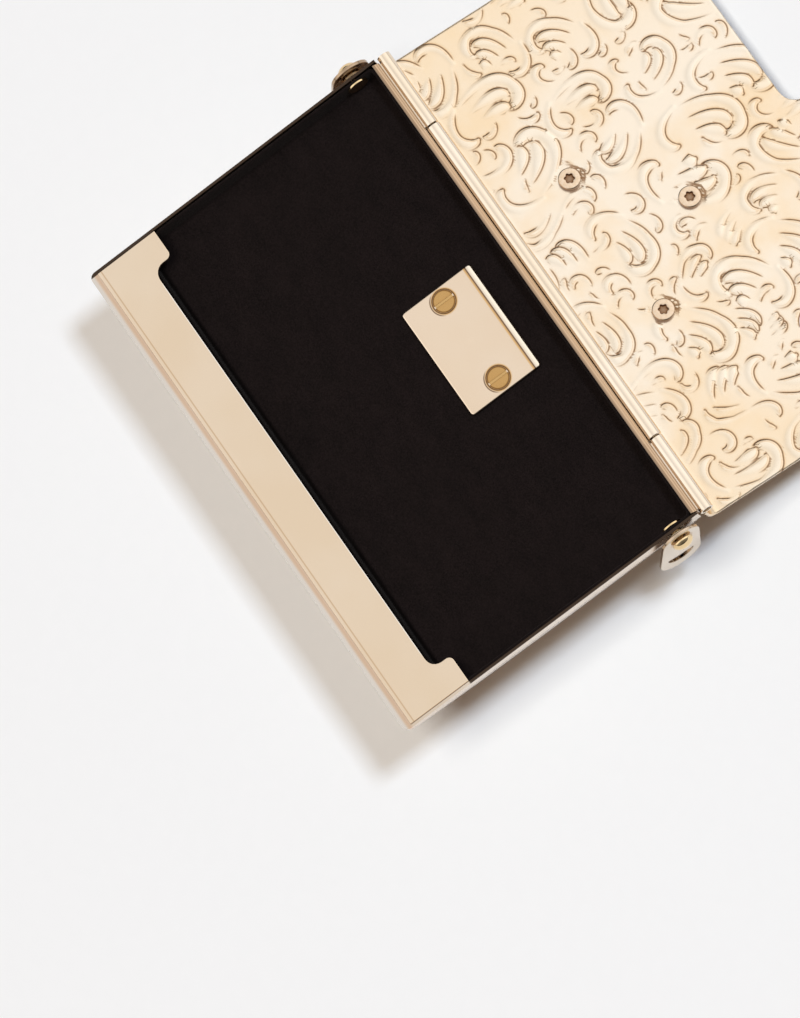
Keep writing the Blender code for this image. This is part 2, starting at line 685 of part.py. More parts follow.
def stone(rx, ry, crown, pavilion, girdle_z):
    # A faceted stone, its table facing -Z: table, crown kites, girdle and pavilion.
    def ring(radius_share, height, count, shift):
        turn = [2 * math.pi * (k + shift) / count for k in range(count)]
        return [(rx * radius_share * math.cos(a), ry * radius_share * math.sin(a), height) for a in turn]

    bm = bmesh.new()
    sides = STONE_SIDES
    table = [bm.verts.new(p) for p in ring(TABLE_SHARE, girdle_z - crown, sides, 0.5)]
    edge = [bm.verts.new(p) for p in ring(1, girdle_z, 2 * sides, 0)]
    belt = [bm.verts.new(p) for p in ring(1, girdle_z + GIRDLE, 2 * sides, 0)]
    culet = bm.verts.new((0, 0, girdle_z + GIRDLE + pavilion))
    bm.faces.new(table)
    for k in range(sides):
        n = (k + 1) % sides
        bm.faces.new((table[k], edge[2 * k], edge[2 * k + 1]))
        bm.faces.new((table[k], edge[2 * k + 1], edge[(2 * k + 2) % (2 * sides)]))
        bm.faces.new((table[k], edge[(2 * k + 2) % (2 * sides)], table[n]))
    for k in range(2 * sides):
        n = (k + 1) % (2 * sides)
        bm.faces.new((edge[k], belt[k], belt[n], edge[n]))
        bm.faces.new((belt[k], culet, belt[n]))
    return bm


def build_stones(clear, coloured, pivot):
    plate_front = ornament_levels()[2]
    for k, ((x, y), rx, ry, crown, pavilion) in enumerate(stone_seats()):
        girdle = plate_front - CLEARANCE - pavilion - GIRDLE
        name = "centre_stone" if k == 0 else f"ring_stone_{k}"
        material = coloured if k == 0 else clear
        bm = placed(stone(rx, ry, crown, pavilion, girdle), (x, y, 0))
        add_object(name, bm, material, pivot, smooth_below=1)


# Lugs


def lug_outline():
    # In the lug's own frame: the rivet at zero, the lug hanging down.
    top = arc((0, 0), LUG_TOP_RADIUS, 0, 180, TURN_STEPS // 2)
    lower = arc((0, -LUG_SHOULDER), LUG_HALF_WIDTH, 180, 360, TURN_STEPS // 2, LUG_LENGTH - LUG_SHOULDER)
    return top + lower


def lug_slot_outline():
    # Straight on its upper side and round below.
    return arc((0, -LUG_SLOT_DROP), LUG_SLOT_WIDTH / 2, 180, 360, TURN_STEPS // 2, LUG_SLOT_HEIGHT)


def build_lugs(gold, steel):
    for side, name in ((-1, "left"), (1, "right")):
        pivot = add_pivot("lug_pivot_" + name, (0, RIVET_Y, RIVET_Z), -LUG_TILT)
        ends = sorted((side * LUG_FACE_X, side * (LUG_FACE_X + LUG_SHEET)))
        lug = add_object("lug_" + name, prism(lug_outline(), *ends, "X"), gold, pivot)
        cut_ends = (ends[0] - OVERRUN, ends[1] + OVERRUN)
        slot = prism(lug_slot_outline(), *cut_ends, "X")
        boolean(lug, add_object(f"lug_slot_cut_{name}", slot, parent=pivot), "DIFFERENCE")
        hole = placed(drill(RIVET_RADIUS + CLEARANCE, *cut_ends), (0, 0, 0), "X")
        boolean(lug, add_object(f"lug_hole_cut_{name}", hole, parent=pivot), "DIFFERENCE")
        build_rivet(side, name, gold)
        build_washer(side, name, steel)


def along_side(bm, side):
    # A piece made about Z, laid along X at the rivet, its +Z pointing outwards.
    matrix = Matrix.Translation((0, RIVET_Y, RIVET_Z)) @ Matrix.Rotation(math.radians(side * 90), 4, "Y")
    bmesh.ops.transform(bm, matrix=matrix, verts=bm.verts)
    return bm


def build_rivet(side, name, gold):
    # A shaft through wall and lug, with a domed head outside and a flat disc inside.
    disc = CASE_WIDTH / 2 - LINING_INSET - SUEDE - CLEARANCE
    head = LUG_FACE_X + LUG_SHEET + CLEARANCE
    profile = [(RIVET_HEAD_RADIUS, disc - RIVET_DISC_SHEET)]
    profile += [(RIVET_HEAD_RADIUS, disc), (RIVET_RADIUS, disc), (RIVET_RADIUS, head)]
    profile += arc((0, head), RIVET_HEAD_RADIUS, 0, 90, ROUND_STEPS, RIVET_HEAD_HEIGHT)[:-1]
    add_object("lug_rivet_" + name, along_side(turned(profile), side), gold)


def build_washer(side, name, steel):
    low = CASE_WIDTH / 2 + CLEARANCE
    high = low + WASHER_SHEET
    washer = add_object("lug_washer_" + name, along_side(cylinder(WASHER_RADIUS, low, high), side), steel)
    hole = along_side(drill(RIVET_RADIUS + CLEARANCE, low - OVERRUN, high + OVERRUN), side)
    boolean(washer, add_object(f"washer_cut_{name}", hole), "DIFFERENCE")


def build_bag():
    clear_scene()
    gold = make_material("polished_pale_gold", (0.83, 0.66, 0.44), 0.18, 1.0)
    brass = make_material("tan_brass", (0.62, 0.39, 0.15), 0.3, 1.0)
    steel = make_material("plated_steel", (0.72, 0.60, 0.42), 0.25, 1.0)
    suede = make_material("black_suede", (0.010, 0.008, 0.007), 0.95, 0.0)
    board = make_material("grey_board", (0.20, 0.19, 0.18), 0.9, 0.0)
    clear = make_material("clear_stone", (0.90, 0.90, 0.92), 0.05, 0.0)
    coloured = make_material("red_stone", (0.45, 0.02, 0.04), 0.05, 0.0)
    build_case_shell(gold)
    build_front_lip_strip(gold)
    build_strip_block(board)
    build_case_core(board)
    build_suede_liner(suede)
    build_inner_plate(gold)
    build_plate_screws(brass)
    build_hinge_leaf(gold)
    build_hinge_pin(steel)
    build_lugs(gold, steel)
    pivot = add_pivot("lid_pivot", (0, AXIS_Y, AXIS_Z), -LID_OPEN_SLOPE)
    build_lid_shell(gold, pivot)
    build_lid_screws(gold, pivot)
    build_ornament_base(gold, pivot)
    build_stones(clear, coloured, pivot)


build_bag()
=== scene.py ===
import json
import math
import bmesh
import bpy
import numpy as np
from mathutils import Matrix, Vector


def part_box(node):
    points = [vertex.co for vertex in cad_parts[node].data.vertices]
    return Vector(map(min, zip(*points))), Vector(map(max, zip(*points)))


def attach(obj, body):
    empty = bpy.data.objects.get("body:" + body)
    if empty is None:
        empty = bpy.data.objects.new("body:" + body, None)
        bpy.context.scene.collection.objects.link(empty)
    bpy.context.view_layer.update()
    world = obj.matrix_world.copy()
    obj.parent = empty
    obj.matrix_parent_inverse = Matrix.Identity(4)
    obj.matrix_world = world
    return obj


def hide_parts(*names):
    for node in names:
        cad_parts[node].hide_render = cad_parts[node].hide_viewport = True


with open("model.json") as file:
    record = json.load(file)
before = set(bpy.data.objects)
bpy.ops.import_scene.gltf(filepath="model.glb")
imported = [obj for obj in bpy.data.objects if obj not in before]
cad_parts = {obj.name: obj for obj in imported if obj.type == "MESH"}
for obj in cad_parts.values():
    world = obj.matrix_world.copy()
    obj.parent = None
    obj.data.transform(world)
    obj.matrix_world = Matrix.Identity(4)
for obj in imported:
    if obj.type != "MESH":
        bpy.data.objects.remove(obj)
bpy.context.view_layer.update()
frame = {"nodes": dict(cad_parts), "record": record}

nodes = frame["nodes"]
mm = 0.001

# Camera, looking steeply down over the hinge with the nose at the left
camera = {
    "look": (0.26, 0.1243, 0.95757),      # from the bag to the camera
    "roll": 0.9242,                       # radians that the picture is turned
    "aim": (0.02127, -0.03054, 0.0105),   # a point of the rim plane at the picture's middle
    "distance": 1.66358,
    "lens": 282.907,
    "sensor": 36,
}


def placeCamera(settings):
    # The picture's right is the level way that the roll gives, made square to the look, and its
    # up is square to both.
    look = Vector(settings["look"]).normalized()
    level = Vector((math.cos(settings["roll"]), math.sin(settings["roll"]), 0))
    right = (level - look * look.dot(level)).normalized()
    up = look.cross(right)
    data = bpy.data.cameras.new("bagCamera")
    data.lens = settings["lens"]
    data.sensor_width = settings["sensor"]
    data.clip_end = 20
    item = bpy.data.objects.new("bagCamera", data)
    bpy.context.collection.objects.link(item)
    turn = Matrix((right, up, look)).transposed().to_4x4()
    item.matrix_world = Matrix.Translation(Vector(settings["aim"]) + look * settings["distance"]) @ turn
    bpy.context.scene.camera = item


placeCamera(camera)
bpy.context.scene.view_settings.view_transform = "Standard"
print("camera placed")

# Helpers for meshes


def makePiece(name, points, faces, smooth=True):
    # Points are in mm.
    mesh = bpy.data.meshes.new(name)
    mesh.from_pydata((np.asarray(points, dtype=float).reshape(-1, 3) * mm).tolist(), [], faces)
    mesh.polygons.foreach_set("use_smooth", [smooth] * len(mesh.polygons))
    mesh.update()
    item = bpy.data.objects.new(name, mesh)
    bpy.context.collection.objects.link(item)
    return item


def makeRings(name, rings, foot, head):
    # A closed surface through rings of equal count, from the foot up and inwards, with a pole
    # that closes the first ring and one that closes the last. It faces outwards.
    rings = np.asarray(rings)
    count, turns = rings.shape[:2]
    index = np.arange(count * turns).reshape(count, turns)
    after = np.roll(index, -1, axis=1)
    faces = np.stack([index[:-1], after[:-1], after[1:], index[1:]], axis=-1).reshape(-1, 4).tolist()
    poles = np.full((2, turns), [[count * turns], [count * turns + 1]])
    faces += np.stack([poles[0], after[0], index[0]], axis=1).tolist()
    faces += np.stack([poles[1], index[-1], after[-1]], axis=1).tolist()
    return makePiece(name, np.concatenate([rings.reshape(-1, 3), [foot, head]]), faces)


def pieceName(node):
    return "dressed" + "".join(word.capitalize() for word in node.split("_"))


def addAttribute(item, name, values):
    layer = item.data.attributes.new(name, "FLOAT", "POINT")
    layer.data.foreach_set("value", np.asarray(values, dtype=np.float32).ravel())


def easeStep(low, high, value):
    # Zero below low, one above high, with a smooth rise between them.
    share = np.clip((value - low) / (high - low), 0, 1)
    return share * share * (3 - 2 * share)


def between(start, stop, share):
    # This share of the straight way from start to stop.
    return start + (stop - start) * share


# Helpers for materials


class NodeTree:
    # A node tree with a short way to add nodes, link them and calculate.

    def __init__(self, tree):
        self.tree = tree

    def give(self, source, socket):
        # A number or a colour is written into the socket, and another socket is linked to it.
        if isinstance(source, (int, float)):
            socket.default_value = source
        elif isinstance(source, tuple):
            socket.default_value = source if len(socket.default_value) == 3 else (*source, 1)
        else:
            self.tree.links.new(source, socket)

    def add(self, kind, inputs, output=0, **settings):
        # A new node, given its inputs by name or number; one of its outputs comes back.
        node = self.tree.nodes.new(kind)
        for name, value in settings.items():
            setattr(node, name, value)
        for name, source in inputs.items():
            self.give(source, node.inputs[name])
        return node.outputs[output]

    def sum(self, operation, one, two=0.0, clamp=False):
        return self.add("ShaderNodeMath", {0: one, 1: two}, operation=operation, use_clamp=clamp)

    def times(self, *values):
        product = values[0]
        for value in values[1:]:
            product = self.sum("MULTIPLY", product, value)
        return product

    def most(self, one, two):
        return self.sum("MAXIMUM", one, two)

    def size(self, value):
        # How far the value is from zero, to either side.
        return self.sum("ABSOLUTE", value)

    def blend(self, share, one, two):
        # Inputs 6 and 7 and output 2 of the node are its colours.
        return self.add("ShaderNodeMix", {0: share, 6: one, 7: two}, 2, data_type="RGBA")

    def lay(self, tint, colour, *shares):
        # The colour laid over the tint, as thick as the product of the shares.
        return self.blend(self.times(*shares), tint, colour)


class Finish(NodeTree):
    # A material. Places on the piece are in mm, and so are the settings of its painted light and shade.

    def __init__(self, name, colour, metallic, roughness):
        self.material = bpy.data.materials.new(name)
        self.material.use_nodes = True
        super().__init__(self.material.node_tree)
        self.shader = self.tree.nodes["Principled BSDF"]
        self.put({"Base Color": colour, "Metallic": metallic, "Roughness": roughness})
        self.place = self.add("ShaderNodeTexCoord", {}, "Object")

    def put(self, inputs):
        for name, source in inputs.items():
            self.give(source, self.shader.inputs[name])

    def noise(self, scale, detail=3, rough=0.5, stretch=(1, 1, 1)):
        place = self.add("ShaderNodeMapping", {"Vector": self.place, "Scale": stretch})
        inputs = {"Vector": place, "Scale": scale, "Detail": detail, "Roughness": rough}
        return self.add("ShaderNodeTexNoise", inputs, "Fac")

    def attribute(self, name):
        return self.add("ShaderNodeAttribute", {}, "Fac", attribute_name=name)

    def axes(self, names):
        # Place on the piece along each of these axes, in mm.
        return [self.times(self.add("ShaderNodeSeparateXYZ", {0: self.place}, axis), 1 / mm) for axis in names]

    def spread(self, value, low, high, start=0.35, stop=0.65):
        # From low at the start to high at the stop, in a straight line.
        inputs = {"Value": value, "From Min": start, "From Max": stop, "To Min": low, "To Max": high}
        return self.add("ShaderNodeMapRange", inputs)

    def past(self, value, low, high):
        # Zero below low, one past high, and a smooth rise between them.
        inputs = {"Value": value, "From Min": low, "From Max": high}
        return self.add("ShaderNodeMapRange", inputs, interpolation_type="SMOOTHSTEP")

    def short(self, value, low, high):
        # The other way round: one below low and zero past high.
        return self.sum("SUBTRACT", 1.0, self.past(value, low, high))

    def line(self, value, middle, width, strength=1.0):
        # This strength at the middle, falling to both sides as a bell of this width.
        away = self.sum("DIVIDE", self.sum("SUBTRACT", value, middle), width)
        return self.times(self.sum("EXPONENT", self.times(away, away, -1.0)), strength)

    def distance(self, one, two):
        return self.sum("SQRT", self.sum("ADD", self.times(one, one), self.times(two, two)))

    def bump(self, height, depth, before=None):
        inputs = {"Strength": 1, "Distance": depth, "Height": height}
        if before is not None:
            inputs["Normal"] = before
        return self.add("ShaderNodeBump", inputs)

    def finish(self, colour, roughness=None, normal=None):
        inputs = {"Base Color": colour, "Roughness": roughness, "Normal": normal}
        self.put({name: source for name, source in inputs.items() if source is not None})
        return self.material


plating = {
    "clouds": (60, 2),       # scale, detail, roughness and stretch of a noise, as in all finishes
    "hairs": (1400, 3, 0.6),
    "roughShares": (0.8, 1.25),
    "bump": 4e-7,            # metres
}


def plateFinish(name, s, paintedLight=None):
    # Plated metal: slow clouds of tint, fine hairlines and a roughness that wanders a little.
    # Painted light and shade come as a function that lays more tint over it.
    roughness = s["roughness"]
    look = Finish(name, s["colour"], 1, roughness)
    clouds = look.noise(*plating["clouds"])
    hairs = look.noise(*plating["hairs"], s.get("grain", (1, 1, 1)))
    tint = look.blend(look.spread(clouds, 0, 1), s["colour"], s["shade"])
    if paintedLight:
        tint = paintedLight(look, tint, s)
    rough = look.spread(hairs, *(roughness * share for share in plating["roughShares"]))
    return look.finish(tint, rough, look.bump(hairs, plating["bump"]))


# Gold strip across the front of the tray. In the finishes, a line is given by its place, width
# and strength, and an edge or area by the two places between which it fades in.

stripMetal = {
    "colour": (0.85, 0.69, 0.52),
    "shade": (0.83, 0.66, 0.48),
    "roughness": 0.20,
    "grain": (1, 12, 12),
    # painted highlight along the edge towards the suede
    "suedeHighlightLine": (-44.34, 0.12),     # along Y, and it stops short of the strip's wide ends
    "suedeHighlightStop": (48.0, 50.0),
    "paintedShine": (1.0, 0.95, 0.88),
    # painted shade in tan along the fold at the nose and the right end
    "foldLine": (-53.62, 0.14, 0.6),
    "endLine": (59.55, 0.12, 0.8),
    "tan": (0.52, 0.30, 0.13),
}


def stripPaintedLight(look, tint, s):
    # A painted highlight runs along the edge towards the suede, and a tan line of painted shade
    # lies along the fold at the nose and at one end.
    x, y = look.axes("XY")
    tint = look.lay(tint, s["paintedShine"], look.line(y, *s["suedeHighlightLine"]), look.short(look.size(x), *s["suedeHighlightStop"]))
    return look.lay(tint, s["tan"], look.most(look.line(y, *s["foldLine"]), look.line(x, *s["endLine"])))


stripGold = plateFinish("stripGold", stripMetal, stripPaintedLight)

# Case: walls, back and nose

caseMetal = {
    "colour": (0.78, 0.66, 0.54),
    "shade": (0.72, 0.59, 0.46),
    "roughness": 0.20,
    "grain": (12, 1, 12),
    # painted shade: walls darker towards the back, a tan bend line, a foot tinted as shadow
    "wall": (60.15, 60.22),          # from the middle
    "wallHeights": (3.0, 10.2),      # full tan below the first, none above the second
    "wallShare": 0.7,
    "wallShadeTan": (0.44, 0.33, 0.24),
    "bendLine": (-54.95, 0.5, 0.8),
    "bendShadeTan": (0.68, 0.46, 0.31),
    "foot": (55.3, 55.9),            # forwards from the middle
    "footShare": 0.85,
    "footShadowTint": (0.745, 0.69, 0.63),
    # painted shade on the rim's cut edge and at the nose's left tip
    "rim": (10.2, 10.4),
    "rimSide": (59.3, 59.5),
    "rimStart": (-39.6, -39.2),      # along Y, behind the strip's wide end
    "tipHeights": (8.0, 9.0),
    "tipFront": (53.6, 54.0),
    "darkShadeShare": 0.97,
    "dark": (0.045, 0.026, 0.016),
}


def casePaintedShade(look, tint, s):
    # Painted shade: the side walls turn tan towards the back, the nose has a tan line on its bend
    # over a paler foot tinted as the shadow beside it, and the rim's cut edge is dark beside the suede
    # and at the nose's left end.
    x, y, z = look.axes("XYZ")
    left = look.times(x, -1.0)
    front = look.times(y, -1.0)
    tint = look.lay(tint, s["wallShadeTan"], look.past(look.size(x), *s["wall"]), look.short(z, *s["wallHeights"]),
                    s["wallShare"])
    tint = look.lay(tint, s["bendShadeTan"], look.line(y, *s["bendLine"]))
    tint = look.lay(tint, s["footShadowTint"], look.past(front, *s["foot"]), s["footShare"])
    leftRim = look.past(left, *s["rimSide"])
    rightRim = look.times(look.past(x, *s["rimSide"]), look.past(y, *s["rimStart"]))
    rim = look.times(look.past(z, *s["rim"]), look.most(rightRim, leftRim))
    tip = look.times(leftRim, look.past(z, *s["tipHeights"]), look.past(front, *s["tipFront"]))
    return look.lay(tint, s["dark"], look.most(rim, tip), s["darkShadeShare"])


caseGold = plateFinish("caseGold", caseMetal, casePaintedShade)

# Small plate in the tray and its two screws

plate = {
    "half": (13.45, 9.05),   # mm, as all lengths here
    "middle": (0.0, 1.6),
    "bottom": 5.1,
    "top": 6.1,
    "corner": 0.8,
    "leastCorner": 0.12,
    "footEdge": (0.3, 0.05),         # width and height of the chamfer round its foot
    "edge": 0.3,             # width and height of the rounding of its upper edge
    "screwX": 10.15,
    "screwY": 1.6,
    "screwTop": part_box("plate_screw_left")[1][2] / mm,
    "rollWidth": 1.35,       # the edge towards the hinge is rolled over
    "rollDrop": 0.75,
    "rollShare": 0.96,       # of a quarter round that the roll takes
    "rollCrease": (0.05, 0.02, 0.09),        # depth in mm; place and width as shares of the roll
    "innerRings": (0.96, 0.04, 14),          # largest and smallest share of the top, and count
    "insets": (0.0, 0.05, 0.14, 0.3, 0.45, 0.6, 0.75, 0.9, 1.05, 1.2, 1.35, 1.5, 1.65, 1.9, 2.4),
    "edgePoints": 60,
    "cornerSteps": 8,
    # finish, with painted highlights, reflections and shade; lines round a screw have their radius for a place
    "colour": (0.89, 0.72, 0.55),
    "shade": (0.87, 0.69, 0.51),
    "roughness": 0.20,
    "grain": (12, 1, 12),
    # painted highlight on the roll, painted orange reflection, painted bright crescents and painted shade
    "roll": (9.27, 9.45),
    "rollHighlight": (0.92, 0.81, 0.66),
    "frontSide": (0.35, 0.85),
    "crescentLine": (2.84, 0.15),
    "paintedShine": (1.0, 0.96, 0.86),
    "glowReflectionLines": ((8.83, 0.20, 0.8), (2.74, 0.22, 0.8)),     # beside the crease, round a screw
    "glow": (0.74, 0.40, 0.09),
    "shadeRingLines": ((2.60, 0.16), (3.06, 0.12)),
    "creaseShadeLine": (9.15, 0.18, 0.97),
    "brown": (0.13, 0.048, 0.008),
    "hole": (2.1, 2.3),
    "holeBrass": (0.66, 0.41, 0.165),
}
screwMetal = {
    "colour": (0.62, 0.37, 0.14),
    "shade": (0.53, 0.29, 0.095),
    "roughness": 0.26,
    "grain": (14, 1, 14),
    # painted shade in the slot, down the side and inside the head's edge
    "slotBelowTop": (0.24, 0.16),
    "slotLine": (0.0, 0.45),
    "slotShare": 0.9,
    "slotShadeBrown": (0.56, 0.31, 0.105),
    "rimLine": (2.32, 0.14, 0.9),
    "rimShadeBrown": (0.17, 0.066, 0.012),
}


def fromScrew(look, x, y):
    # How far outwards and forwards from the axis of the nearer screw of the plate.
    across = look.sum("SUBTRACT", look.size(x), plate["screwX"])
    forwards = look.sum("SUBTRACT", plate["screwY"], y)
    return across, forwards


def platePaintedLight(look, tint, s):
    # Painted shade in brown round both screws and in the crease beside the rolled edge, which a
    # painted highlight makes paler; a painted orange reflection lies beside the crease and round each
    # screw, a painted bright crescent before each screw, and the slots show brass.
    x, y = look.axes("XY")
    across, forwards = fromScrew(look, x, y)
    away = look.distance(across, forwards)
    front = look.past(look.sum("DIVIDE", forwards, away), *s["frontSide"])
    tint = look.lay(tint, s["rollHighlight"], look.past(y, *s["roll"]))
    tint = look.lay(tint, s["paintedShine"], look.line(away, *s["crescentLine"]), front)
    besideCrease, roundScrew = s["glowReflectionLines"]
    tint = look.lay(tint, s["glow"], look.most(look.line(y, *besideCrease), look.line(away, *roundScrew)))
    inner, outer = (look.line(away, *line) for line in s["shadeRingLines"])
    ring = look.most(inner, look.times(outer, front))
    tint = look.lay(tint, s["brown"], look.most(ring, look.line(y, *s["creaseShadeLine"])))
    return look.lay(tint, s["holeBrass"], look.short(away, *s["hole"]))


def screwPaintedShade(look, tint, s):
    # Painted shade in brown in the slot, down the side and just inside the head's edge.
    x, y, z = look.axes("XYZ")
    across, forwards = fromScrew(look, x, y)
    low = look.short(z, *(plate["screwTop"] - drop for drop in s["slotBelowTop"]))
    tint = look.lay(tint, s["slotShadeBrown"], look.most(low, look.line(across, *s["slotLine"])), s["slotShare"])
    return look.lay(tint, s["rimShadeBrown"], look.line(look.distance(across, forwards), *s["rimLine"]))


plateGold = plateFinish("plateGold", plate, platePaintedLight)
tanBrass = plateFinish("tanBrass", screwMetal, screwPaintedShade)

# Chain lugs, the same on both sides but for more painted shade on the left one

lugMetal = {
    "colour": (0.70, 0.60, 0.49),
    "shade": (0.58, 0.47, 0.35),
    "roughness": 0.10,
    # painted shade towards the case, on the left lug, along the edge and round the rivet
    "innerFace": (61.35, 61.6),      # from the middle of the bag
    "innerShare": 0.85,
    "leftShadeShare": 0.4,
    "brown": (0.26, 0.14, 0.06),
    "edgeLine": (61.75, 0.14, 0.5),
    "edgeShadeBrown": (0.40, 0.22, 0.08),
    "rivet": (13.4, 7.9),            # its axis along Y and Z
    "ring": (2.3, 3.0),
    "ringShare": 0.8,
    "rivetShadeTan": (0.46, 0.27, 0.10),
}


def lugPaintedShade(look, tint, s):
    # Painted shade: brown on the side towards the case, on the left lug and along the sheet's middle, tan round the
    # rivet.
    x, y, z = look.axes("XYZ")
    inner = look.times(look.short(look.size(x), *s["innerFace"]), s["innerShare"])
    left = look.times(look.past(look.times(x, -1.0), 0.0, 1.0), s["leftShadeShare"])
    tint = look.lay(tint, s["brown"], look.most(inner, left))
    tint = look.lay(tint, s["edgeShadeBrown"], look.line(look.size(x), *s["edgeLine"]))
    along, up = (look.sum("SUBTRACT", value, place) for value, place in zip((y, z), s["rivet"]))
    return look.lay(tint, s["rivetShadeTan"], look.short(look.distance(along, up), *s["ring"]), s["ringShare"])


lugGold = plateFinish("lugGold", lugMetal, lugPaintedShade)

# Hinge leaf and knuckles

hingeMetal = {
    "colour": (0.88, 0.75, 0.61),
    "shade": (0.84, 0.70, 0.54),
    "roughness": 0.14,
    "grain": (1, 14, 14),
    # painted shade and reflection along the leaf's edge and the knuckles
    "leaf": (19.4, 19.6),
    "leafShare": 0.9,
    "leafInner": (18.4, 19.0),
    "tan": (0.62, 0.42, 0.26),
    "innerShadeTan": (0.22, 0.14, 0.085),
    "lines": ((18.78, 0.09, 0.6), (19.25, 0.08, 0.5), (19.66, 0.13, 0.8)),
    "outerKnuckle": (41.0, 42.0),    # beyond this the lines are at full strength
    "middleShare": 0.55,
    "brown": (0.20, 0.105, 0.045),
}


def hingePaintedShade(look, tint, s):
    # Painted shade and reflection: the leaf's edge is tan, darker towards the suede, with brown lines drawn along it.
    x, y = look.axes("XY")
    tan = look.lay(s["tan"], s["innerShadeTan"], look.short(y, *s["leafInner"]))
    tint = look.lay(tint, tan, look.short(y, *s["leaf"]), s["leafShare"])
    lines = 0.0
    for line in s["lines"]:
        lines = look.most(look.line(y, *line), lines)
    outer = look.spread(look.past(look.size(x), *s["outerKnuckle"]), s["middleShare"], 1.0)
    return look.lay(tint, s["brown"], lines, outer)


hingeGold = plateFinish("hingeGold", hingeMetal, hingePaintedShade)

# Plain finishes

plainMetals = {
    "domeGold": {"colour": (0.88, 0.68, 0.40), "shade": (0.76, 0.54, 0.27), "roughness": 0.06},
    "pinSteel": {"colour": (0.52, 0.42, 0.28), "shade": (0.36, 0.27, 0.16), "roughness": 0.25, "grain": (1, 14, 14)},
    "ornamentGold": {"colour": (0.84, 0.70, 0.50), "shade": (0.74, 0.57, 0.36), "roughness": 0.18},
}
domeGold, pinSteel, ornamentGold = (plateFinish(name, metal) for name, metal in plainMetals.items())


pressedBoard = {
    "colour": (0.16, 0.14, 0.12),
    "roughness": 0.85,
    "flecks": (700, 5, 0.7, (1, 1, 4)),
    "light": (0.19, 0.165, 0.14),
    "dark": (0.11, 0.095, 0.08),
    "bump": 6e-5,
}


def boardFinish(s):
    look = Finish("pressedBoard", s["colour"], 0, s["roughness"])
    flecks = look.noise(*s["flecks"])
    tint = look.blend(look.spread(flecks, 0, 1), s["light"], s["dark"])
    return look.finish(tint, None, look.bump(flecks, s["bump"]))


stones = {
    "roughness": 0.02,
    "glass": {"Transmission Weight": 0.9, "IOR": 1.62},
    "clouds": (260, 2),
    "grain": (1500, 2),
    "roughRange": (0.015, 0.05),
    "clearStone": ((0.95, 0.95, 0.98), (0.86, 0.88, 0.94)),
    "redStone": ((0.62, 0.03, 0.08), (0.40, 0.01, 0.04)),
}


def stoneFinish(name, s):
    colour, shade = s[name]
    look = Finish(name, colour, 0, s["roughness"])
    look.put(s["glass"])
    tint = look.blend(look.spread(look.noise(*s["clouds"]), 0, 1), colour, shade)
    return look.finish(tint, look.spread(look.noise(*s["grain"]), *s["roughRange"]))


suede = {
    "colour": (0.010, 0.0085, 0.008),
    "roughness": 0.95,
    "fibres": (3200, 4, 0.65),
    "brushed": (160, 4, 0.6, (1, 1.8, 1)),
    "shares": (0.65, 0.35),          # of the fibres and the brushed patches in the tint
    "napRange": (0.36, 0.66),
    "roughRange": (0.86, 1.0),
    "bump": 1.6e-4,
    "dark": (0.0045, 0.0032, 0.0030),
    "light": (0.0150, 0.0105, 0.0100),
    "gloss": {"Specular IOR Level": 0.10, "Sheen Weight": 0.07, "Sheen Roughness": 0.45,
              "Sheen Tint": (0.55, 0.48, 0.44)},
    # painted shade on the wall under the strip
    "frontWall": (-43.6, -42.8),
    "frontShare": 0.9,
    "frontDark": (0.0012, 0.0008, 0.0007),
}


def suedeFinish(s):
    # Short nap: fine fibres, brushed patches a little lighter, and a soft sheen; painted shade makes
    # the wall under the strip darker.
    look = Finish("blackSuede", s["colour"], 0, s["roughness"])
    look.put(s["gloss"])
    fibres, brushed = look.noise(*s["fibres"]), look.noise(*s["brushed"])
    mixed = look.sum("ADD", *(look.times(noise, share) for noise, share in zip((fibres, brushed), s["shares"])))
    nap = look.blend(look.spread(mixed, 0, 1, *s["napRange"]), s["dark"], s["light"])
    frontWall = look.short(look.axes("Y")[0], *s["frontWall"])
    tint = look.lay(nap, s["frontDark"], frontWall, s["frontShare"])
    return look.finish(tint, look.spread(brushed, *s["roughRange"]), look.bump(fibres, s["bump"]))


embossed = {
    "colour": (0.86, 0.72, 0.54),
    "roughness": 0.24,
    "grain": (1500, 4, 0.6),
    "clouds": ((24, 2), (110, 3)),
    "shares": (0.6, 0.4),            # of both clouds in the tint
    "cloudRange": (0.44, 0.62),
    "roughRange": (0.20, 0.27),
    "creaseBump": 6e-5,
    "grainBump": 6e-7,
    "ground": (0.885, 0.770, 0.630),
    "cloud": (0.87, 0.680, 0.465),
    "sides": (24.0, 62.0),           # mm from the middle, as all places and widths here
    "sideShare": 0.55,
    "sideWarm": (0.86, 0.665, 0.44),
    # painted highlight on the raised scrolls, painted shade in the creases and a painted warm glow beside them
    "raisedHighlightShare": 0.6,
    "raisedHighlight": (0.92, 0.825, 0.69),
    "creaseShadeLine": (0.0, 0.135),      # from a scroll's crisp edge, as the halo and inner line
    "creaseShadeShare": 0.9,
    "crease": (0.17, 0.062, 0.013),
    "creaseGlowLine": (0.0, 0.42),
    "innerLine": (-0.52, 0.13),
    "creaseGlowShare": 0.48,
    "halo": (0.68, 0.40, 0.155),
}


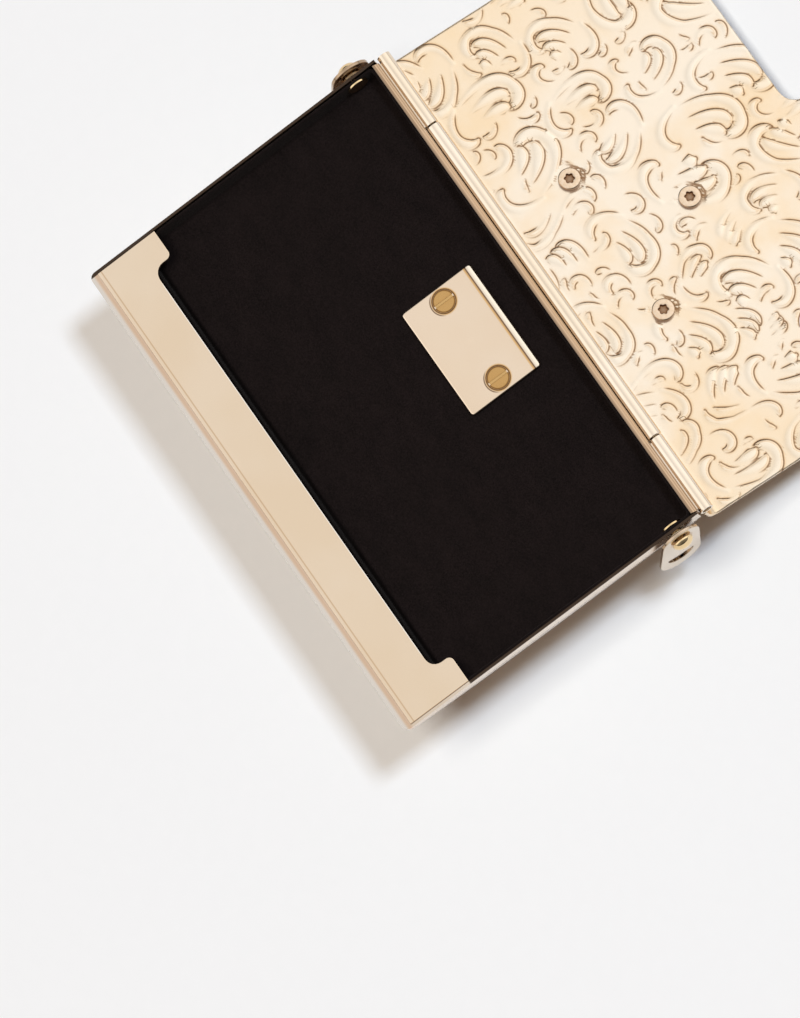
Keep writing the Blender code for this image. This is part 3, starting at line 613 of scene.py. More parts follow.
def embossedFinish(s):
    # Pale plated sheet: warm clouds on the ground; a painted highlight on the raised scrolls, painted
    # shade in brown in the creases beside each scroll, and a painted warm glow beside them.
    look = Finish("embossedGold", s["colour"], 1, s["roughness"])
    distance = look.attribute("creaseDistance")
    depth = look.attribute("creaseShade")
    grain = look.noise(*s["grain"])
    mixed = look.sum("ADD", *(look.times(look.noise(*noise), share) for noise, share in zip(s["clouds"], s["shares"])))
    tint = look.blend(look.spread(mixed, 0, 1, *s["cloudRange"]), s["ground"], s["cloud"])
    sides = look.past(look.size(look.axes("X")[0]), *s["sides"])
    tint = look.lay(tint, s["sideWarm"], sides, s["sideShare"])
    # painted highlight, painted warm glow and painted shade along the creases
    tint = look.lay(tint, s["raisedHighlight"], look.attribute("raised"), s["raisedHighlightShare"])
    halo = look.sum("MULTIPLY", look.line(distance, *s["creaseGlowLine"]), depth, True)
    inner = look.times(look.line(distance, *s["innerLine"]), depth)
    tint = look.lay(tint, s["halo"], look.most(halo, inner), s["creaseGlowShare"])
    crease = look.sum("MULTIPLY", look.line(distance, *s["creaseShadeLine"]), depth, True)
    crease = look.times(crease, s["creaseShadeShare"])
    tint = look.lay(tint, s["crease"], crease)
    lines = look.bump(look.times(crease, -1.0), s["creaseBump"])
    return look.finish(tint, look.spread(grain, *s["roughRange"]), look.bump(grain, s["grainBump"], lines))


lidScrewMetal = {
    "colour": (0.82, 0.65, 0.49),
    "shade": (0.77, 0.58, 0.40),
    # painted shade in the socket and round the head's foot and edge
    "brown": (0.15, 0.056, 0.014),
    "roughness": 0.20,
    "grain": (1800, 3, 0.6),
    "roughRange": (0.16, 0.26),
    "bump": 6e-7,
}


def paintedShadeFinish(name, s):
    # Turned metal, with painted shade in brown where the piece's own attribute says.
    look = Finish(name, s["colour"], 1, s["roughness"])
    grain = look.noise(*s["grain"])
    clean = look.blend(look.spread(grain, 0, 1), s["colour"], s["shade"])
    tint = look.blend(look.attribute("worn"), clean, s["brown"])
    return look.finish(tint, look.spread(grain, *s["roughRange"]), look.bump(grain, s["bump"]))


blackSuede = suedeFinish(suede)
embossedGold = embossedFinish(embossed)
board = boardFinish(pressedBoard)
lidScrewGold = paintedShadeFinish("lidScrewGold", lidScrewMetal)
clearStone = stoneFinish("clearStone", stones)
redStone = stoneFinish("redStone", stones)

finishes = {
    "case_shell": caseGold,
    "front_lip_strip": stripGold,
    "strip_block": board,
    "case_core": board,
    "inner_plate": plateGold,
    "hinge_leaf": hingeGold,
    "hinge_pin": pinSteel,
    "lid_screw_far": lidScrewGold,
    "ornament_base": ornamentGold,
    "centre_stone": redStone,
}
for side in ("_left", "_right"):
    finishes["plate_screw" + side] = tanBrass
    finishes["lug" + side] = lugGold
    finishes["lug_rivet" + side] = domeGold
    finishes["lug_washer" + side] = pinSteel
    finishes["lid_screw" + side] = lidScrewGold
for number in range(1, 11):
    finishes["ring_stone_" + str(number)] = clearStone
for name, material in finishes.items():
    mesh = nodes[name].data
    mesh.materials.clear()
    mesh.materials.append(material)
print("finishes put on the solids")

# Solids whose edges are finished: a merged copy with rounded edges stands for each

bodyOf = {node: body for body, held in frame["record"]["behaviour"]["bodies"].items() for node in held}

leaf = {
    "above": 7.2,            # mm, as all lengths here; only what is higher moves
    "near": 0.02,            # how close to a face's place along Y a point of it lies
    "inner": (18.65, 18.38),         # place of the face towards the suede, and its new place
    "outer": (19.45, 19.78),
    "outerTop": (10.4, 9.3),         # points of the outer face above the first drop to the second
}
strip = {"fold": (-54.15, -54.51), "side": (59.3, 59.61)}     # from here on, points move there
nose = {
    "radius": 1.5,
    "start": -54.9,          # where the rounds begin, along Y
    "side": 55.0,            # what lies further out is part of a side wall
    "cuts": (-50.0, -54.0, -54.9, -55.2, -55.5, -55.8, -56.1),       # faces are cut across here
}
disc = {"stop": 58.5, "outwards": 0.6}


def widenLeaf(x, y, z):
    # The leaf's edge fills the rim between the suede and the barrel, and falls towards it.
    inner, outer = ((z > leaf["above"]) & (np.abs(y - leaf[face][0]) < leaf["near"]) for face in ("inner", "outer"))
    drop = outer & (z > leaf["outerTop"][0])
    y = np.where(inner, leaf["inner"][1], np.where(outer, leaf["outer"][1], y))
    return x, y, np.where(drop, leaf["outerTop"][1], z)


def widenStrip(x, y, z):
    # The strip closes the gaps that its solid leaves at the fold and at the side walls.
    y = np.where(y < strip["fold"][0], strip["fold"][1], y)
    return np.where(np.abs(x) > strip["side"][0], np.sign(x) * strip["side"][1], x), y, z


def roundNose(x, y, z):
    # Seen from above, the nose's two corners are quarter rounds.
    radius = nose["radius"]
    depth = np.clip(nose["start"] - y, 0, radius)
    inset = radius - np.sqrt(radius ** 2 - depth ** 2)
    return x - np.sign(x) * np.where(np.abs(x) > nose["side"], inset, 0), y, z


def seatDisc(x, y, z):
    # The rivet's disc inside the tray lies against the suede, which the lining has further out.
    return x + np.sign(x) * np.where(np.abs(x) < disc["stop"], disc["outwards"], 0), y, z


edging = {
    "merge": 2e-6,           # metres between points that are one
    "onCut": 1e-6,           # metres from a cut within which a point lies on it
    "flat": 0.5,             # degrees between faces that are one
    "smooth": 35,            # degrees up to which an edge is shaded smooth
    "bevelFrom": 40,         # degrees from which an edge is rounded
}


def finishEdges(node, width, steps, reshape=None):
    # The solid's triangles are merged into whole faces, then moved, then rounded at the edges.
    work = bmesh.new()
    work.from_mesh(nodes[node].data)
    bmesh.ops.remove_doubles(work, verts=work.verts, dist=edging["merge"])
    bmesh.ops.dissolve_limit(work, angle_limit=math.radians(edging["flat"]), verts=work.verts, edges=work.edges)
    for y in nose["cuts"] if reshape is roundNose else ():
        whole = list(work.verts) + list(work.edges) + list(work.faces)
        bmesh.ops.bisect_plane(work, geom=whole, plane_co=(0, y * mm, 0), plane_no=(0, 1, 0), dist=edging["onCut"])
    mesh = bpy.data.meshes.new(pieceName(node))
    work.to_mesh(mesh)
    work.free()
    if reshape:
        points = np.zeros(len(mesh.vertices) * 3)
        mesh.vertices.foreach_get("co", points)
        points = np.stack(reshape(*(points.reshape(-1, 3) / mm).T), axis=1) * mm
        mesh.vertices.foreach_set("co", points.ravel())
    mesh.polygons.foreach_set("use_smooth", [True] * len(mesh.polygons))
    mesh.set_sharp_from_angle(angle=math.radians(edging["smooth"]))
    mesh.materials.append(finishes[node])
    item = bpy.data.objects.new(mesh.name, mesh)
    bpy.context.collection.objects.link(item)
    bevel = item.modifiers.new("roundedEdges", "BEVEL")
    bevel.width = width * mm
    bevel.segments = steps
    bevel.limit_method = "ANGLE"
    bevel.angle_limit = math.radians(edging["bevelFrom"])
    bevel.harden_normals = True
    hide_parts(node)
    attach(item, bodyOf[node])


edges = {
    # node: width of the rounding in mm, its steps, and a change of shape
    "case_shell": (0.20, 2, roundNose),
    "front_lip_strip": (0.16, 3, widenStrip),
    "hinge_leaf": (0.20, 2, widenLeaf),
    "lug_left": (0.22, 3),
    "lug_right": (0.22, 3),
    "lug_rivet_left": (0.12, 2, seatDisc),
    "lug_rivet_right": (0.12, 2, seatDisc),
    "plate_screw_left": (0.12, 2),
    "plate_screw_right": (0.12, 2),
    "ornament_base": (0.15, 2),
}
for node, values in edges.items():
    finishEdges(node, *values)
print("edges finished")

# Scrolls embossed in the lid

scrolls = {
    "seed": 11,
    "height": 0.20,          # mm that the boldest scroll stands up
    "crispSide": (-0.13, 0.98),      # the way that every scroll's steep side faces
    "area": (-61.0, 61.0, 2.0, 76.0),        # across the panel, and along it from the hinge
    "cell": 0.4,             # mm of the grid that keeps the scrolls apart
    "margin": 2,             # that grid reaches this much further
    "gap": 0.25,
    "overlap": 0.03,         # share of a new scroll that may lie on one laid before
    "scales": (0.85, 1.20),
    # kind, how many tries, length and width of its longest plume in mm
    "rounds": [
        ("leaf", 220, 15.0, 2.9),
        ("sweep", 220, 16.0, 2.3),
        ("leaf", 300, 12.0, 2.5),
        ("sweep", 300, 12.0, 2.1),
        ("fingers", 500, 7.5, 2.3),
        ("volute", 700, 8.5, 1.9),
        ("fingers", 500, 5.5, 1.9),
        ("hook", 900, 5.5, 1.6),
        ("hook", 1200, 3.6, 1.3),
    ],
    # a plume: share of its length where it is at its widest, share that its round end takes,
    # how deep its lobes cut in, and the points of its spine
    "widest": 0.75,
    "end": 0.22,
    "lobeDepth": 0.2,
    "steps": 44,
    # its section: half width from which the height is whole, the most that it grows to, and the
    # share of the height that the soft side keeps
    "wholeHalf": 1.1,
    "most": 1.15,
    "softSide": 0.45,
    "crestSide": (-1.0, 0.9),        # between these the way to the crisp side counts as crest
    "narrow": (0.0, 0.5),            # half widths between which a scroll gains its height
    "flank": (0.9, 0.15),            # share of the half width taken by the soft and crisp flank
    "flankSide": (-0.1, 0.6),
    # its crease, a groove with painted shade along it: shares of the length between which it curls,
    # where the crease begins and is whole when straight and when curled, and the shares and half
    # widths where the tail ends
    "curled": (0.45, 0.85),
    "creaseFrom": (-0.15, -0.90),
    "creaseWhole": (0.75, 0.15),
    "tail": (0.02, 0.16),
    "tailHalf": (0.06, 0.35),
    "groove": (0.035, 0.25),         # depth and width of the groove beside a crisp edge
    "creaseStop": (0.60, 0.95),      # from the edge, where a crease fades out
    # centres of the lid's screws on the panel, where the sheet is flat, and the flat's radius
    "screws": ((-17.5, 18.2), (17.5, 18.2), (0.0, 36.8)),
    "screwFlat": 2.6,
    # painted shade before each screw, laid as creases: radius past the flat, depth of the shade and waviness
    "screwShadeRings": ((0.0, 1.0, 0.0), (0.75, 0.9, 0.22)),
    "screwWaves": 5,
    "screwLine": (0.36, 0.42),       # their half width, and how much finer they are than others
    "screwFade": 0.9,        # the scrolls rise this far round the flat
    "screwFront": (0.35, 0.85),
}


def plume(x, y, heading, length, width, side, curve, curl, blunt, power, lobes):
    # Spine: short steps from the tail; how fast its heading turns, in radians per mm, grows
    # from curve to curl. Half width: a rise from the tail and a round fall at the end.
    s = scrolls
    share = np.linspace(0, 1, s["steps"])
    step = length / (s["steps"] - 1)
    turn = np.cumsum(between(curve, curl, share[1:] ** power))
    angle = heading + side * step * np.concatenate(([0], turn))
    px = x + np.concatenate(([0], np.cumsum(np.cos(angle[:-1]) * step)))
    py = y + np.concatenate(([0], np.cumsum(np.sin(angle[:-1]) * step)))
    rise = blunt + (1 - blunt) * np.sin(np.pi / 2 * np.minimum(share / s["widest"], 1)) ** 1.2
    fall = 0.35 + 0.65 * np.sqrt(np.clip((1 - share) / s["end"], 0, 1))
    scallop = 1 - s["lobeDepth"] * (1 - np.abs(np.sin(math.pi * lobes * share))) if lobes else 1
    return np.stack([px, py, width / 2 * rise * scallop * fall], axis=1)


def scrollGroup(kind, x, y, heading, length, width, side, chance):
    # The plumes of one scroll. Lengths, widths and places are shares of the longest plume's;
    # curve is in radians over its length and curl a share of the tightest that leaves a hollow.
    made = []

    def add(curve, blunt, power, curl=1.0, long=1.0, wide=1.0, away=0.0, ahead=0.0, turn=0.0,
            back=False, way=1, lobes=0, hollow=0.75):
        px = x - math.sin(heading) * side * width * away + math.cos(heading) * width * ahead
        py = y + math.cos(heading) * side * width * away + math.sin(heading) * width * ahead
        tightest = 1 / (width / 2 + hollow)
        start = heading + side * turn + (math.pi if back else 0)
        made.append(plume(px, py, start, length * long, width * wide, side * way,
                          curve / length, tightest * curl, blunt, power, lobes))

    if kind == "leaf":
        # A long outer scroll with a scalloped edge, lobes side by side in its curl, each on the
        # last like a scale, and a smaller scroll that turns the other way from the root
        add(0.6, 0.25, 1.5, long=1.3, lobes=3)
        for number in range(1, 3 + int(chance.random() * 2)):
            add(0.9, 0.12, 4.5, curl=1.3, long=0.78 - 0.2 * number, wide=0.9,
                away=0.9 * number, ahead=0.1 * number, turn=0.16 * number)
        add(1.0, 0.5, 1.4, curl=1.15, long=0.72, wide=0.8, away=-0.2, ahead=-0.2, turn=-0.3, back=True, way=-1)
    elif kind == "sweep":
        # A slow scroll with a shorter one beside it, and a curl at its other end, as a C or an S
        way = -1 if chance.random() < 0.5 else 1
        add(0.3, 0.5, 2.2, lobes=3)
        add(0.6, 0.1, 2.5, long=0.55, wide=0.8, away=1.02, ahead=0.3, turn=0.05)
        add(0.8, 0.5, 1.3, curl=1.1, long=0.66, wide=0.9, back=True, way=way)
    elif kind == "volute":
        add(1.0, 0.15, 0.9, hollow=0.4)
    elif kind == "fingers":
        for number in range(3):
            add(0.5, 0.3, 2.0, curl=1.1, long=1 - 0.22 * number,
                away=0.95 * number, ahead=0.3 * number, turn=0.1 * number)
    else:
        add(0.8 + 0.8 * chance.random(), 0.06, 1.6)
    return made


def nearSpine(px, py, spine):
    # Distance from each point to the line through the spine's points, the nearest place on it,
    # and how far along the spine that is.
    square = (px[:, None] - spine[None, :, 0]) ** 2 + (py[:, None] - spine[None, :, 1]) ** 2
    nearest = np.argmin(square, axis=1)
    away = np.sqrt(square[np.arange(len(px)), nearest])
    footX, footY = spine[nearest, 0], spine[nearest, 1]
    along = nearest.astype(float)
    for step in (-1, 1):
        other = np.clip(nearest + step, 0, len(spine) - 1)
        dx, dy = spine[other, 0] - spine[nearest, 0], spine[other, 1] - spine[nearest, 1]
        length = np.maximum(dx * dx + dy * dy, 1e-9)
        share = np.clip(((px - spine[nearest, 0]) * dx + (py - spine[nearest, 1]) * dy) / length, 0, 1)
        fx, fy = spine[nearest, 0] + share * dx, spine[nearest, 1] + share * dy
        closer = np.hypot(px - fx, py - fy) < away - 1e-9
        away = np.where(closer, np.hypot(px - fx, py - fy), away)
        footX, footY = np.where(closer, fx, footX), np.where(closer, fy, footY)
        along = np.where(closer, nearest + step * share, along)
    return away, footX, footY, along


def layScrolls(s):
    # Groups are tried at random places, boldest first, and kept where they don't run into others.
    chance = np.random.default_rng(s["seed"])
    left, right, near, far = s["area"]
    margin = s["margin"]
    gx = np.arange(left - margin, right + margin, s["cell"])
    gy = np.arange(near - margin, far + margin, s["cell"])
    taken = np.zeros((len(gy), len(gx)), dtype=bool)
    kept = []
    for kind, tries, length, width in s["rounds"]:
        for attempt in range(tries):
            x = between(left, right, chance.random())
            y = between(near, far, chance.random())
            heading = 2 * math.pi * chance.random()
            side = 1 if chance.random() < 0.5 else -1
            scale = between(*s["scales"], chance.random())
            group = scrollGroup(kind, x, y, heading, length * scale, width * scale, side, chance)
            spine = np.concatenate(group)[::3]
            if (np.abs(spine[:, 0]) > right).any():
                continue
            i0, i1 = np.searchsorted(gx, (spine[:, 0].min() - margin, spine[:, 0].max() + margin))
            j0, j1 = np.searchsorted(gy, (spine[:, 1].min() - margin, spine[:, 1].max() + margin))
            if i1 <= i0 or j1 <= j0:
                continue
            cx, cy = np.meshgrid(gx[i0:i1], gy[j0:j1])
            square = (cx.ravel()[:, None] - spine[:, 0]) ** 2 + (cy.ravel()[:, None] - spine[:, 1]) ** 2
            room = np.sqrt(square) - spine[:, 2]
            body = (room.min(axis=1) < s["gap"]).reshape(cx.shape)
            window = taken[j0:j1, i0:i1]
            if (body & window).sum() > s["overlap"] * body.sum():
                continue
            taken[j0:j1, i0:i1] |= body
            kept.extend(group)
    return kept


def scrollField(x, y, spines, s):
    # Height, signed distance to the nearest scroll's edge and how sharp that edge is, which sets its
    # groove and the painted shade in its crease. A scroll rises slowly from the sheet to a crest along
    # its crisp side and drops steeply there. One laid later covers those under it, as leaves lie on
    # each other.
    farthest, tiny = 1.5, 1e-6
    height = np.zeros(len(x))
    distance = np.full(len(x), farthest)
    sharp = np.zeros(len(x))
    crispX, crispY = s["crispSide"]
    for spine in spines:
        reach = spine[:, 2].max() + 1.0
        inside = (x > spine[:, 0].min() - reach) & (x < spine[:, 0].max() + reach)
        inside &= (y > spine[:, 1].min() - reach) & (y < spine[:, 1].max() + reach)
        index = np.nonzero(inside)[0]
        if len(index) == 0:
            continue
        away, footX, footY, along = nearSpine(x[index], y[index], spine)
        half = np.interp(along, np.arange(len(spine)), spine[:, 2])
        edge = away - half
        solid = np.maximum(half, tiny)
        facing = ((x[index] - footX) * crispX + (y[index] - footY) * crispY) / solid
        share = np.clip(away / solid, 0, 1)
        # Height: a flat-topped bulge, bolder where the scroll is wide, steeper on the crisp side
        lift = s["height"] * np.clip(half / s["wholeHalf"], 0, s["most"])
        bulge = lift * np.sqrt(1 - share ** 4)
        bulge *= s["softSide"] + (1 - s["softSide"]) * easeStep(*s["crestSide"], facing)
        flank = between(*s["flank"], easeStep(*s["flankSide"], facing))
        bulge *= easeStep(*s["narrow"], half) * easeStep(0.0, flank, 1 - share)
        # Crease, a groove with painted shade: along the crisp side, all round where the scroll curls, none at its tail
        aim = facing / np.maximum(away / solid, tiny) * (share > 0.3)
        passed = along / (len(spine) - 1)
        curled = easeStep(*s["curled"], passed)
        towards = easeStep(between(*s["creaseFrom"], curled), between(*s["creaseWhole"], curled), aim)
        crisp = towards * easeStep(*s["tail"], passed) * easeStep(*s["tailHalf"], half)
        within = edge < 0
        closer = within | (np.abs(edge) < np.abs(distance[index]))
        height[index] = np.where(within, np.maximum(bulge, 0.5 * height[index] * (1 - towards)), height[index])
        distance[index] = np.where(closer, edge, distance[index])
        sharp[index] = np.where(closer, crisp, sharp[index])
    sharp *= 1 - easeStep(*s["creaseStop"], np.abs(distance))
    depth, width = s["groove"]
    height -= depth * np.exp(-(distance / width) ** 2) * sharp
    for screwX, screwY in s["screws"]:
        away = np.hypot(x - screwX, y - screwY)
        height *= easeStep(0.0, s["screwFade"], away - s["screwFlat"])
        facing = ((x - screwX) * crispX + (y - screwY) * crispY) / np.maximum(away, tiny)
        turn = np.arctan2(y - screwY, x - screwX)
        # painted shade in wavy rings before each screw; the height stays as it is
        for further, depth, wave in s["screwShadeRings"]:
            offset = away - s["screwFlat"] - further - wave * np.sin(s["screwWaves"] * turn)
            near = np.abs(offset) < s["screwLine"][0]
            distance = np.where(near, offset * s["screwLine"][1], distance)
            sharp = np.where(near, depth * easeStep(*s["screwFront"], facing), sharp)
    return height, np.clip(distance, -farthest, farthest), sharp


# The lid: one bent sheet with its scrolls

lid = {
    "sheet": 0.8,            # mm, as all lengths here
    "slope": 15.6,           # degrees that the open lid falls
    "axis": (21.4, 8.5),     # Y and Z of the hinge axis
    "wallSide": 0.95,        # from the axis to the middle of the wall
    "level": -7.684,         # middle of the panel's sheet below the axis
    "bend": 3.0,
    "half": 60.25,
    "reach": 65.6,
    "rootHalf": 9.0,
    "fillet": 4.0,
    "hookY": 78.14,
    "hookBend": 1.15,
    "hookHeight": 3.6,
    "rootColumns": 26,
    "sideColumns": 148,
    "wallRows": 8,
    "bendRows": 12,
    "panelRows": 180,
    "filletRows": 12,
    "tabRows": 20,
    "hookRows": 8,
    "tipRows": 4,
    "roomFrom": 41.2,        # beyond this the wall makes room for the outer knuckles
    "room": 1.75,
    "edgeRound": (0.16, 0.22),       # depth and width of the rounding of the sheet's edge
    "fadeIn": (2.0, 4.2),    # along the panel, where the scrolls fade in and out
    "fadeOut": (74.5, 76.5),
    "backShare": 0.8,        # how deep the scrolls show on the outer face
}


def lidPlace(x, y, z):
    # From the lid's own frame, whose Y runs along the panel from the hinge, to the rest pose.
    slope = math.radians(-lid["slope"])
    wy = lid["axis"][0] + math.cos(slope) * y - math.sin(slope) * z
    wz = lid["axis"][1] + math.sin(slope) * y + math.cos(slope) * z
    return np.stack([x, wy, wz], axis=-1)


def lidRows(s):
    # Middle line of the sheet, row by row: down the wall, round the bend, along the panel
    # and the tab, and up the hook; with the half width of each row and its place on the panel.
    rows = []

    def steps(start, stop, count):
        return np.linspace(start, stop, s[count] + 1)[:-1]

    def run(y, z, headingY, headingZ):
        rows.append(np.stack(np.broadcast_arrays(y, z, headingY, headingZ), axis=1))

    slope = math.radians(s["slope"])
    turn = math.pi / 2 - slope
    start = np.array((-s["wallSide"] * math.cos(slope), -s["wallSide"] * math.sin(slope)))
    lean = np.array((math.sin(slope), -math.cos(slope)))
    wall = (s["level"] - start[1]) / lean[1]
    tangent = s["bend"] * math.tan(turn / 2)
    wallLength = wall - tangent
    down = wallLength * steps(0, 1, "wallRows")
    run(start[0] + lean[0] * down, start[1] + lean[1] * down, lean[0], lean[1])
    bendY = start[0] + lean[0] * wall + tangent
    angle = math.radians(270) - turn + turn * steps(0, 1, "bendRows")
    run(bendY + s["bend"] * np.cos(angle), s["level"] + s["bend"] * (1 + np.sin(angle)), -np.sin(angle), np.cos(angle))
    theta = steps(0, math.pi / 2, "filletRows")
    tabStop = s["hookY"] - s["hookBend"]
    flat = np.concatenate([steps(bendY, s["reach"], "panelRows"), s["reach"] + s["fillet"] * (1 - np.cos(theta)),
                           steps(s["reach"] + s["fillet"], tabStop, "tabRows")])
    run(flat, s["level"], 1.0, 0.0)
    rise = steps(0, math.pi / 2, "hookRows")
    run(tabStop + s["hookBend"] * np.sin(rise), s["level"] + s["hookBend"] * (1 - np.cos(rise)),
        np.cos(rise), np.sin(rise))
    run(s["hookY"], np.linspace(s["level"] + s["hookBend"], s["level"] + s["hookHeight"], s["tipRows"] + 1), 0.0, 1.0)
    path = np.concatenate(rows)
    half = np.full(len(path), s["rootHalf"])
    first = s["wallRows"] + s["bendRows"] + s["panelRows"]
    half[first:first + s["filletRows"]] = s["rootHalf"] - s["fillet"] * np.sin(theta)
    half[first + s["filletRows"]:] = s["rootHalf"] - s["fillet"]
    along = np.concatenate(([0], np.cumsum(np.hypot(*np.diff(path[:, :2], axis=0).T))))
    along += bendY - along[s["wallRows"] + s["bendRows"]]
    return path, half, along, start, lean, wallLength


def rimFaces(inner, outer, cells, side):
    # Five-sided faces that close the sheet's edge along one side of the marked cells.
    rows, columns = np.nonzero(cells)
    r, c = 2 * rows, 2 * columns
    spots = {
        "start": ((r, c), (r, c + 1), (r, c + 2)),
        "stop": ((r + 2, c + 2), (r + 2, c + 1), (r + 2, c)),
        "left": ((r + 2, c), (r + 1, c), (r, c)),
        "right": ((r, c + 2), (r + 1, c + 2), (r + 2, c + 2)),
    }[side]
    a, b, d = (inner[spot] for spot in spots)
    low, high = (outer[spot[0] // 2, spot[1] // 2] for spot in (spots[0], spots[2]))
    return np.stack([low, high, d, b, a], axis=1)


def makeLid(s, spines, pattern):
    # A grid over the sheet's middle line: the inner face stands half the sheet and the scrolls'
    # height off it, and the outer face, on every second point, lies as far behind it.
    path, half, along, start, lean, wallLength = lidRows(s)
    root = s["rootHalf"] * np.arange(s["rootColumns"]) / s["rootColumns"]
    plus = np.concatenate([root, np.linspace(s["rootHalf"], s["half"], s["sideColumns"] + 1)])
    columns = np.concatenate([-plus[:0:-1], plus])
    grid = (len(path), len(columns))
    first = s["wallRows"] + s["bendRows"] + s["panelRows"]
    x = np.tile(columns, (grid[0], 1))
    x[first:] *= (half[first:] / s["rootHalf"])[:, None]
    y, z, headingY, headingZ = (np.repeat(values[:, None], grid[1], axis=1) for values in path.T)
    # The wall starts lower where the outer knuckles stand
    roomy = np.abs(columns) > s["roomFrom"]
    lower = s["room"] + (wallLength - s["room"]) * np.arange(s["wallRows"]) / s["wallRows"]
    y[:s["wallRows"], roomy] = (start[0] + lean[0] * lower)[:, None]
    z[:s["wallRows"], roomy] = (start[1] + lean[1] * lower)[:, None]
    place = np.repeat(along[:, None], grid[1], axis=1)
    field = scrollField(x.ravel(), place.ravel(), spines, pattern)
    height, distance, sharp = (values.reshape(grid) for values in field)
    fade = easeStep(*s["fadeIn"], place) * (1 - easeStep(*s["fadeOut"], place))
    height *= fade
    sharp *= fade
    # The sheet's edges are rounded over
    limit = np.full(grid, s["half"])
    limit[first + 1:] = half[first + 1:, None]
    edge = limit - np.abs(x)
    beside = (np.abs(x) > s["rootHalf"]) & (place <= s["reach"] + 0.001)
    edge = np.where(beside, np.minimum(edge, s["reach"] - place), edge)
    depth, width = s["edgeRound"]
    drop = depth * np.exp(-(np.clip(edge, 0, None) / width) ** 2)
    up = s["sheet"] / 2 + height - drop
    down = s["sheet"] / 2 - s["backShare"] * height - drop
    innerPoints = lidPlace(x, y - headingZ * up, z + headingY * up)
    outerPoints = lidPlace(x, y + headingZ * down, z - headingY * down)[::2, ::2]
    # Faces: beyond the panel's edge only the tab's cells stay
    cells = np.ones(((grid[0] - 1) // 2, (grid[1] - 1) // 2), dtype=bool)
    middle = (grid[1] - 1) // 2
    cells[first // 2:, :(middle - s["rootColumns"]) // 2] = False
    cells[first // 2:, (middle + s["rootColumns"]) // 2:] = False
    inner = np.arange(x.size).reshape(grid)
    outer = np.arange(outerPoints[..., 0].size).reshape(outerPoints.shape[:2]) + x.size
    r, c = np.nonzero(np.repeat(np.repeat(cells, 2, axis=0), 2, axis=1))
    groups = [np.stack([inner[r, c], inner[r, c + 1], inner[r + 1, c + 1], inner[r + 1, c]], axis=1)]
    r, c = np.nonzero(cells)
    groups.append(np.stack([outer[r, c], outer[r + 1, c], outer[r + 1, c + 1], outer[r, c + 1]], axis=1))
    padded = np.pad(cells, 1)
    for side, beyond in (("start", padded[:-2, 1:-1]), ("stop", padded[2:, 1:-1]),
                         ("left", padded[1:-1, :-2]), ("right", padded[1:-1, 2:])):
        groups.append(rimFaces(inner, outer, cells & ~beyond, side))
    # Only the points that a face uses are kept
    points = np.concatenate([innerPoints.reshape(-1, 3), outerPoints.reshape(-1, 3)])
    used = np.zeros(len(points), dtype=bool)
    used[np.concatenate([group.ravel() for group in groups])] = True
    renumber = np.cumsum(used) - 1
    item = makePiece("lidPanel", points[used], [face for group in groups for face in renumber[group].tolist()])
    # the crease's painted shade goes onto the points for the material
    for name, values in (("creaseDistance", distance), ("creaseShade", sharp),
                         ("raised", np.clip(height / pattern["height"], 0, 1))):
        addAttribute(item, name, np.concatenate([values.ravel(), values[::2, ::2].ravel()])[used])
    return item


spines = layScrolls(scrolls)
print("scrolls laid:", len(spines))
lidPanel = makeLid(lid, spines, scrolls)
lidPanel.data.materials.append(embossedGold)
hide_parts("lid_shell")
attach(lidPanel, "lid")
print("lid made")

# Knuckle rolled on the lid, round the hinge pin

knuckle = {"radius": 1.6, "bore": 1.05, "half": 41.3, "round": 0.12, "turns": 48}


def makeKnuckle(s):
    # A closed profile of radius and place along X, carried round the hinge axis.
    outside, bore, bevel, end = s["radius"], s["bore"], s["round"], s["half"]
    profile = [(bore, -end), (outside - bevel, -end), (outside, bevel - end),
               (outside, end - bevel), (outside - bevel, end), (bore, end)]
    radius, along = np.array(profile).T[:, :, None]
    angle = 2 * math.pi * np.arange(s["turns"]) / s["turns"]
    axisY, axisZ = lid["axis"]
    ring = np.broadcast_arrays(along, axisY + radius * np.cos(angle), axisZ + radius * np.sin(angle))
    index = np.arange(len(profile) * s["turns"]).reshape(-1, s["turns"])
    after = np.roll(index, -1, axis=0)
    faces = np.stack([index, np.roll(index, -1, axis=1), np.roll(after, -1, axis=1), after], axis=-1)
    item = makePiece("lidKnuckle", np.stack(ring, axis=-1), faces.reshape(-1, 4).tolist())
    item.data.set_sharp_from_angle(angle=math.radians(edging["smooth"]))
    return item


lidKnuckle = makeKnuckle(knuckle)
lidKnuckle.data.materials.append(hingeGold)
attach(lidKnuckle, "lid")
print("knuckle made")

# Screws of the lid: low round heads with a lobed socket

lidScrew = {
    "radius": 2.4,           # mm, as all lengths here
    "height": 1.2,
    "round": 0.3,
    "socket": 1.02,          # its radius
    "lobe": 0.13,            # share that the socket's six lobes stand out
    "sink": 0.02,            # how far the head's foot is let into the sheet
    "turns": 72,
    # rings, by radius past the head's or socket's, height over the foot or below the top, share
    # of the socket's wave and painted shade in brown: up the side, and into the socket
    "side": ((-0.4, 0.0, 0, 1.0), (0.0, 0.05, 0, 1.0), (0.0, 0.4, 0, 0.8)),
    "inside": ((0.42, 0.0, 0, 0.0), (0.10, 0.0, 0.8, 0.15), (0.0, 0.05, 1, 0.85),
               (-0.0612, 0.55, 1, 1.0), (-0.51, 0.55, 0.6, 0.8)),
    "roundRings": 5,
    "roundShadeBrown": (0.7, 0.9),        # at the foot of the round edge, and the angle where it ends
    "poleShadeBrown": (1.0, 0.7),
    "sharpFrom": 40,         # degrees
}


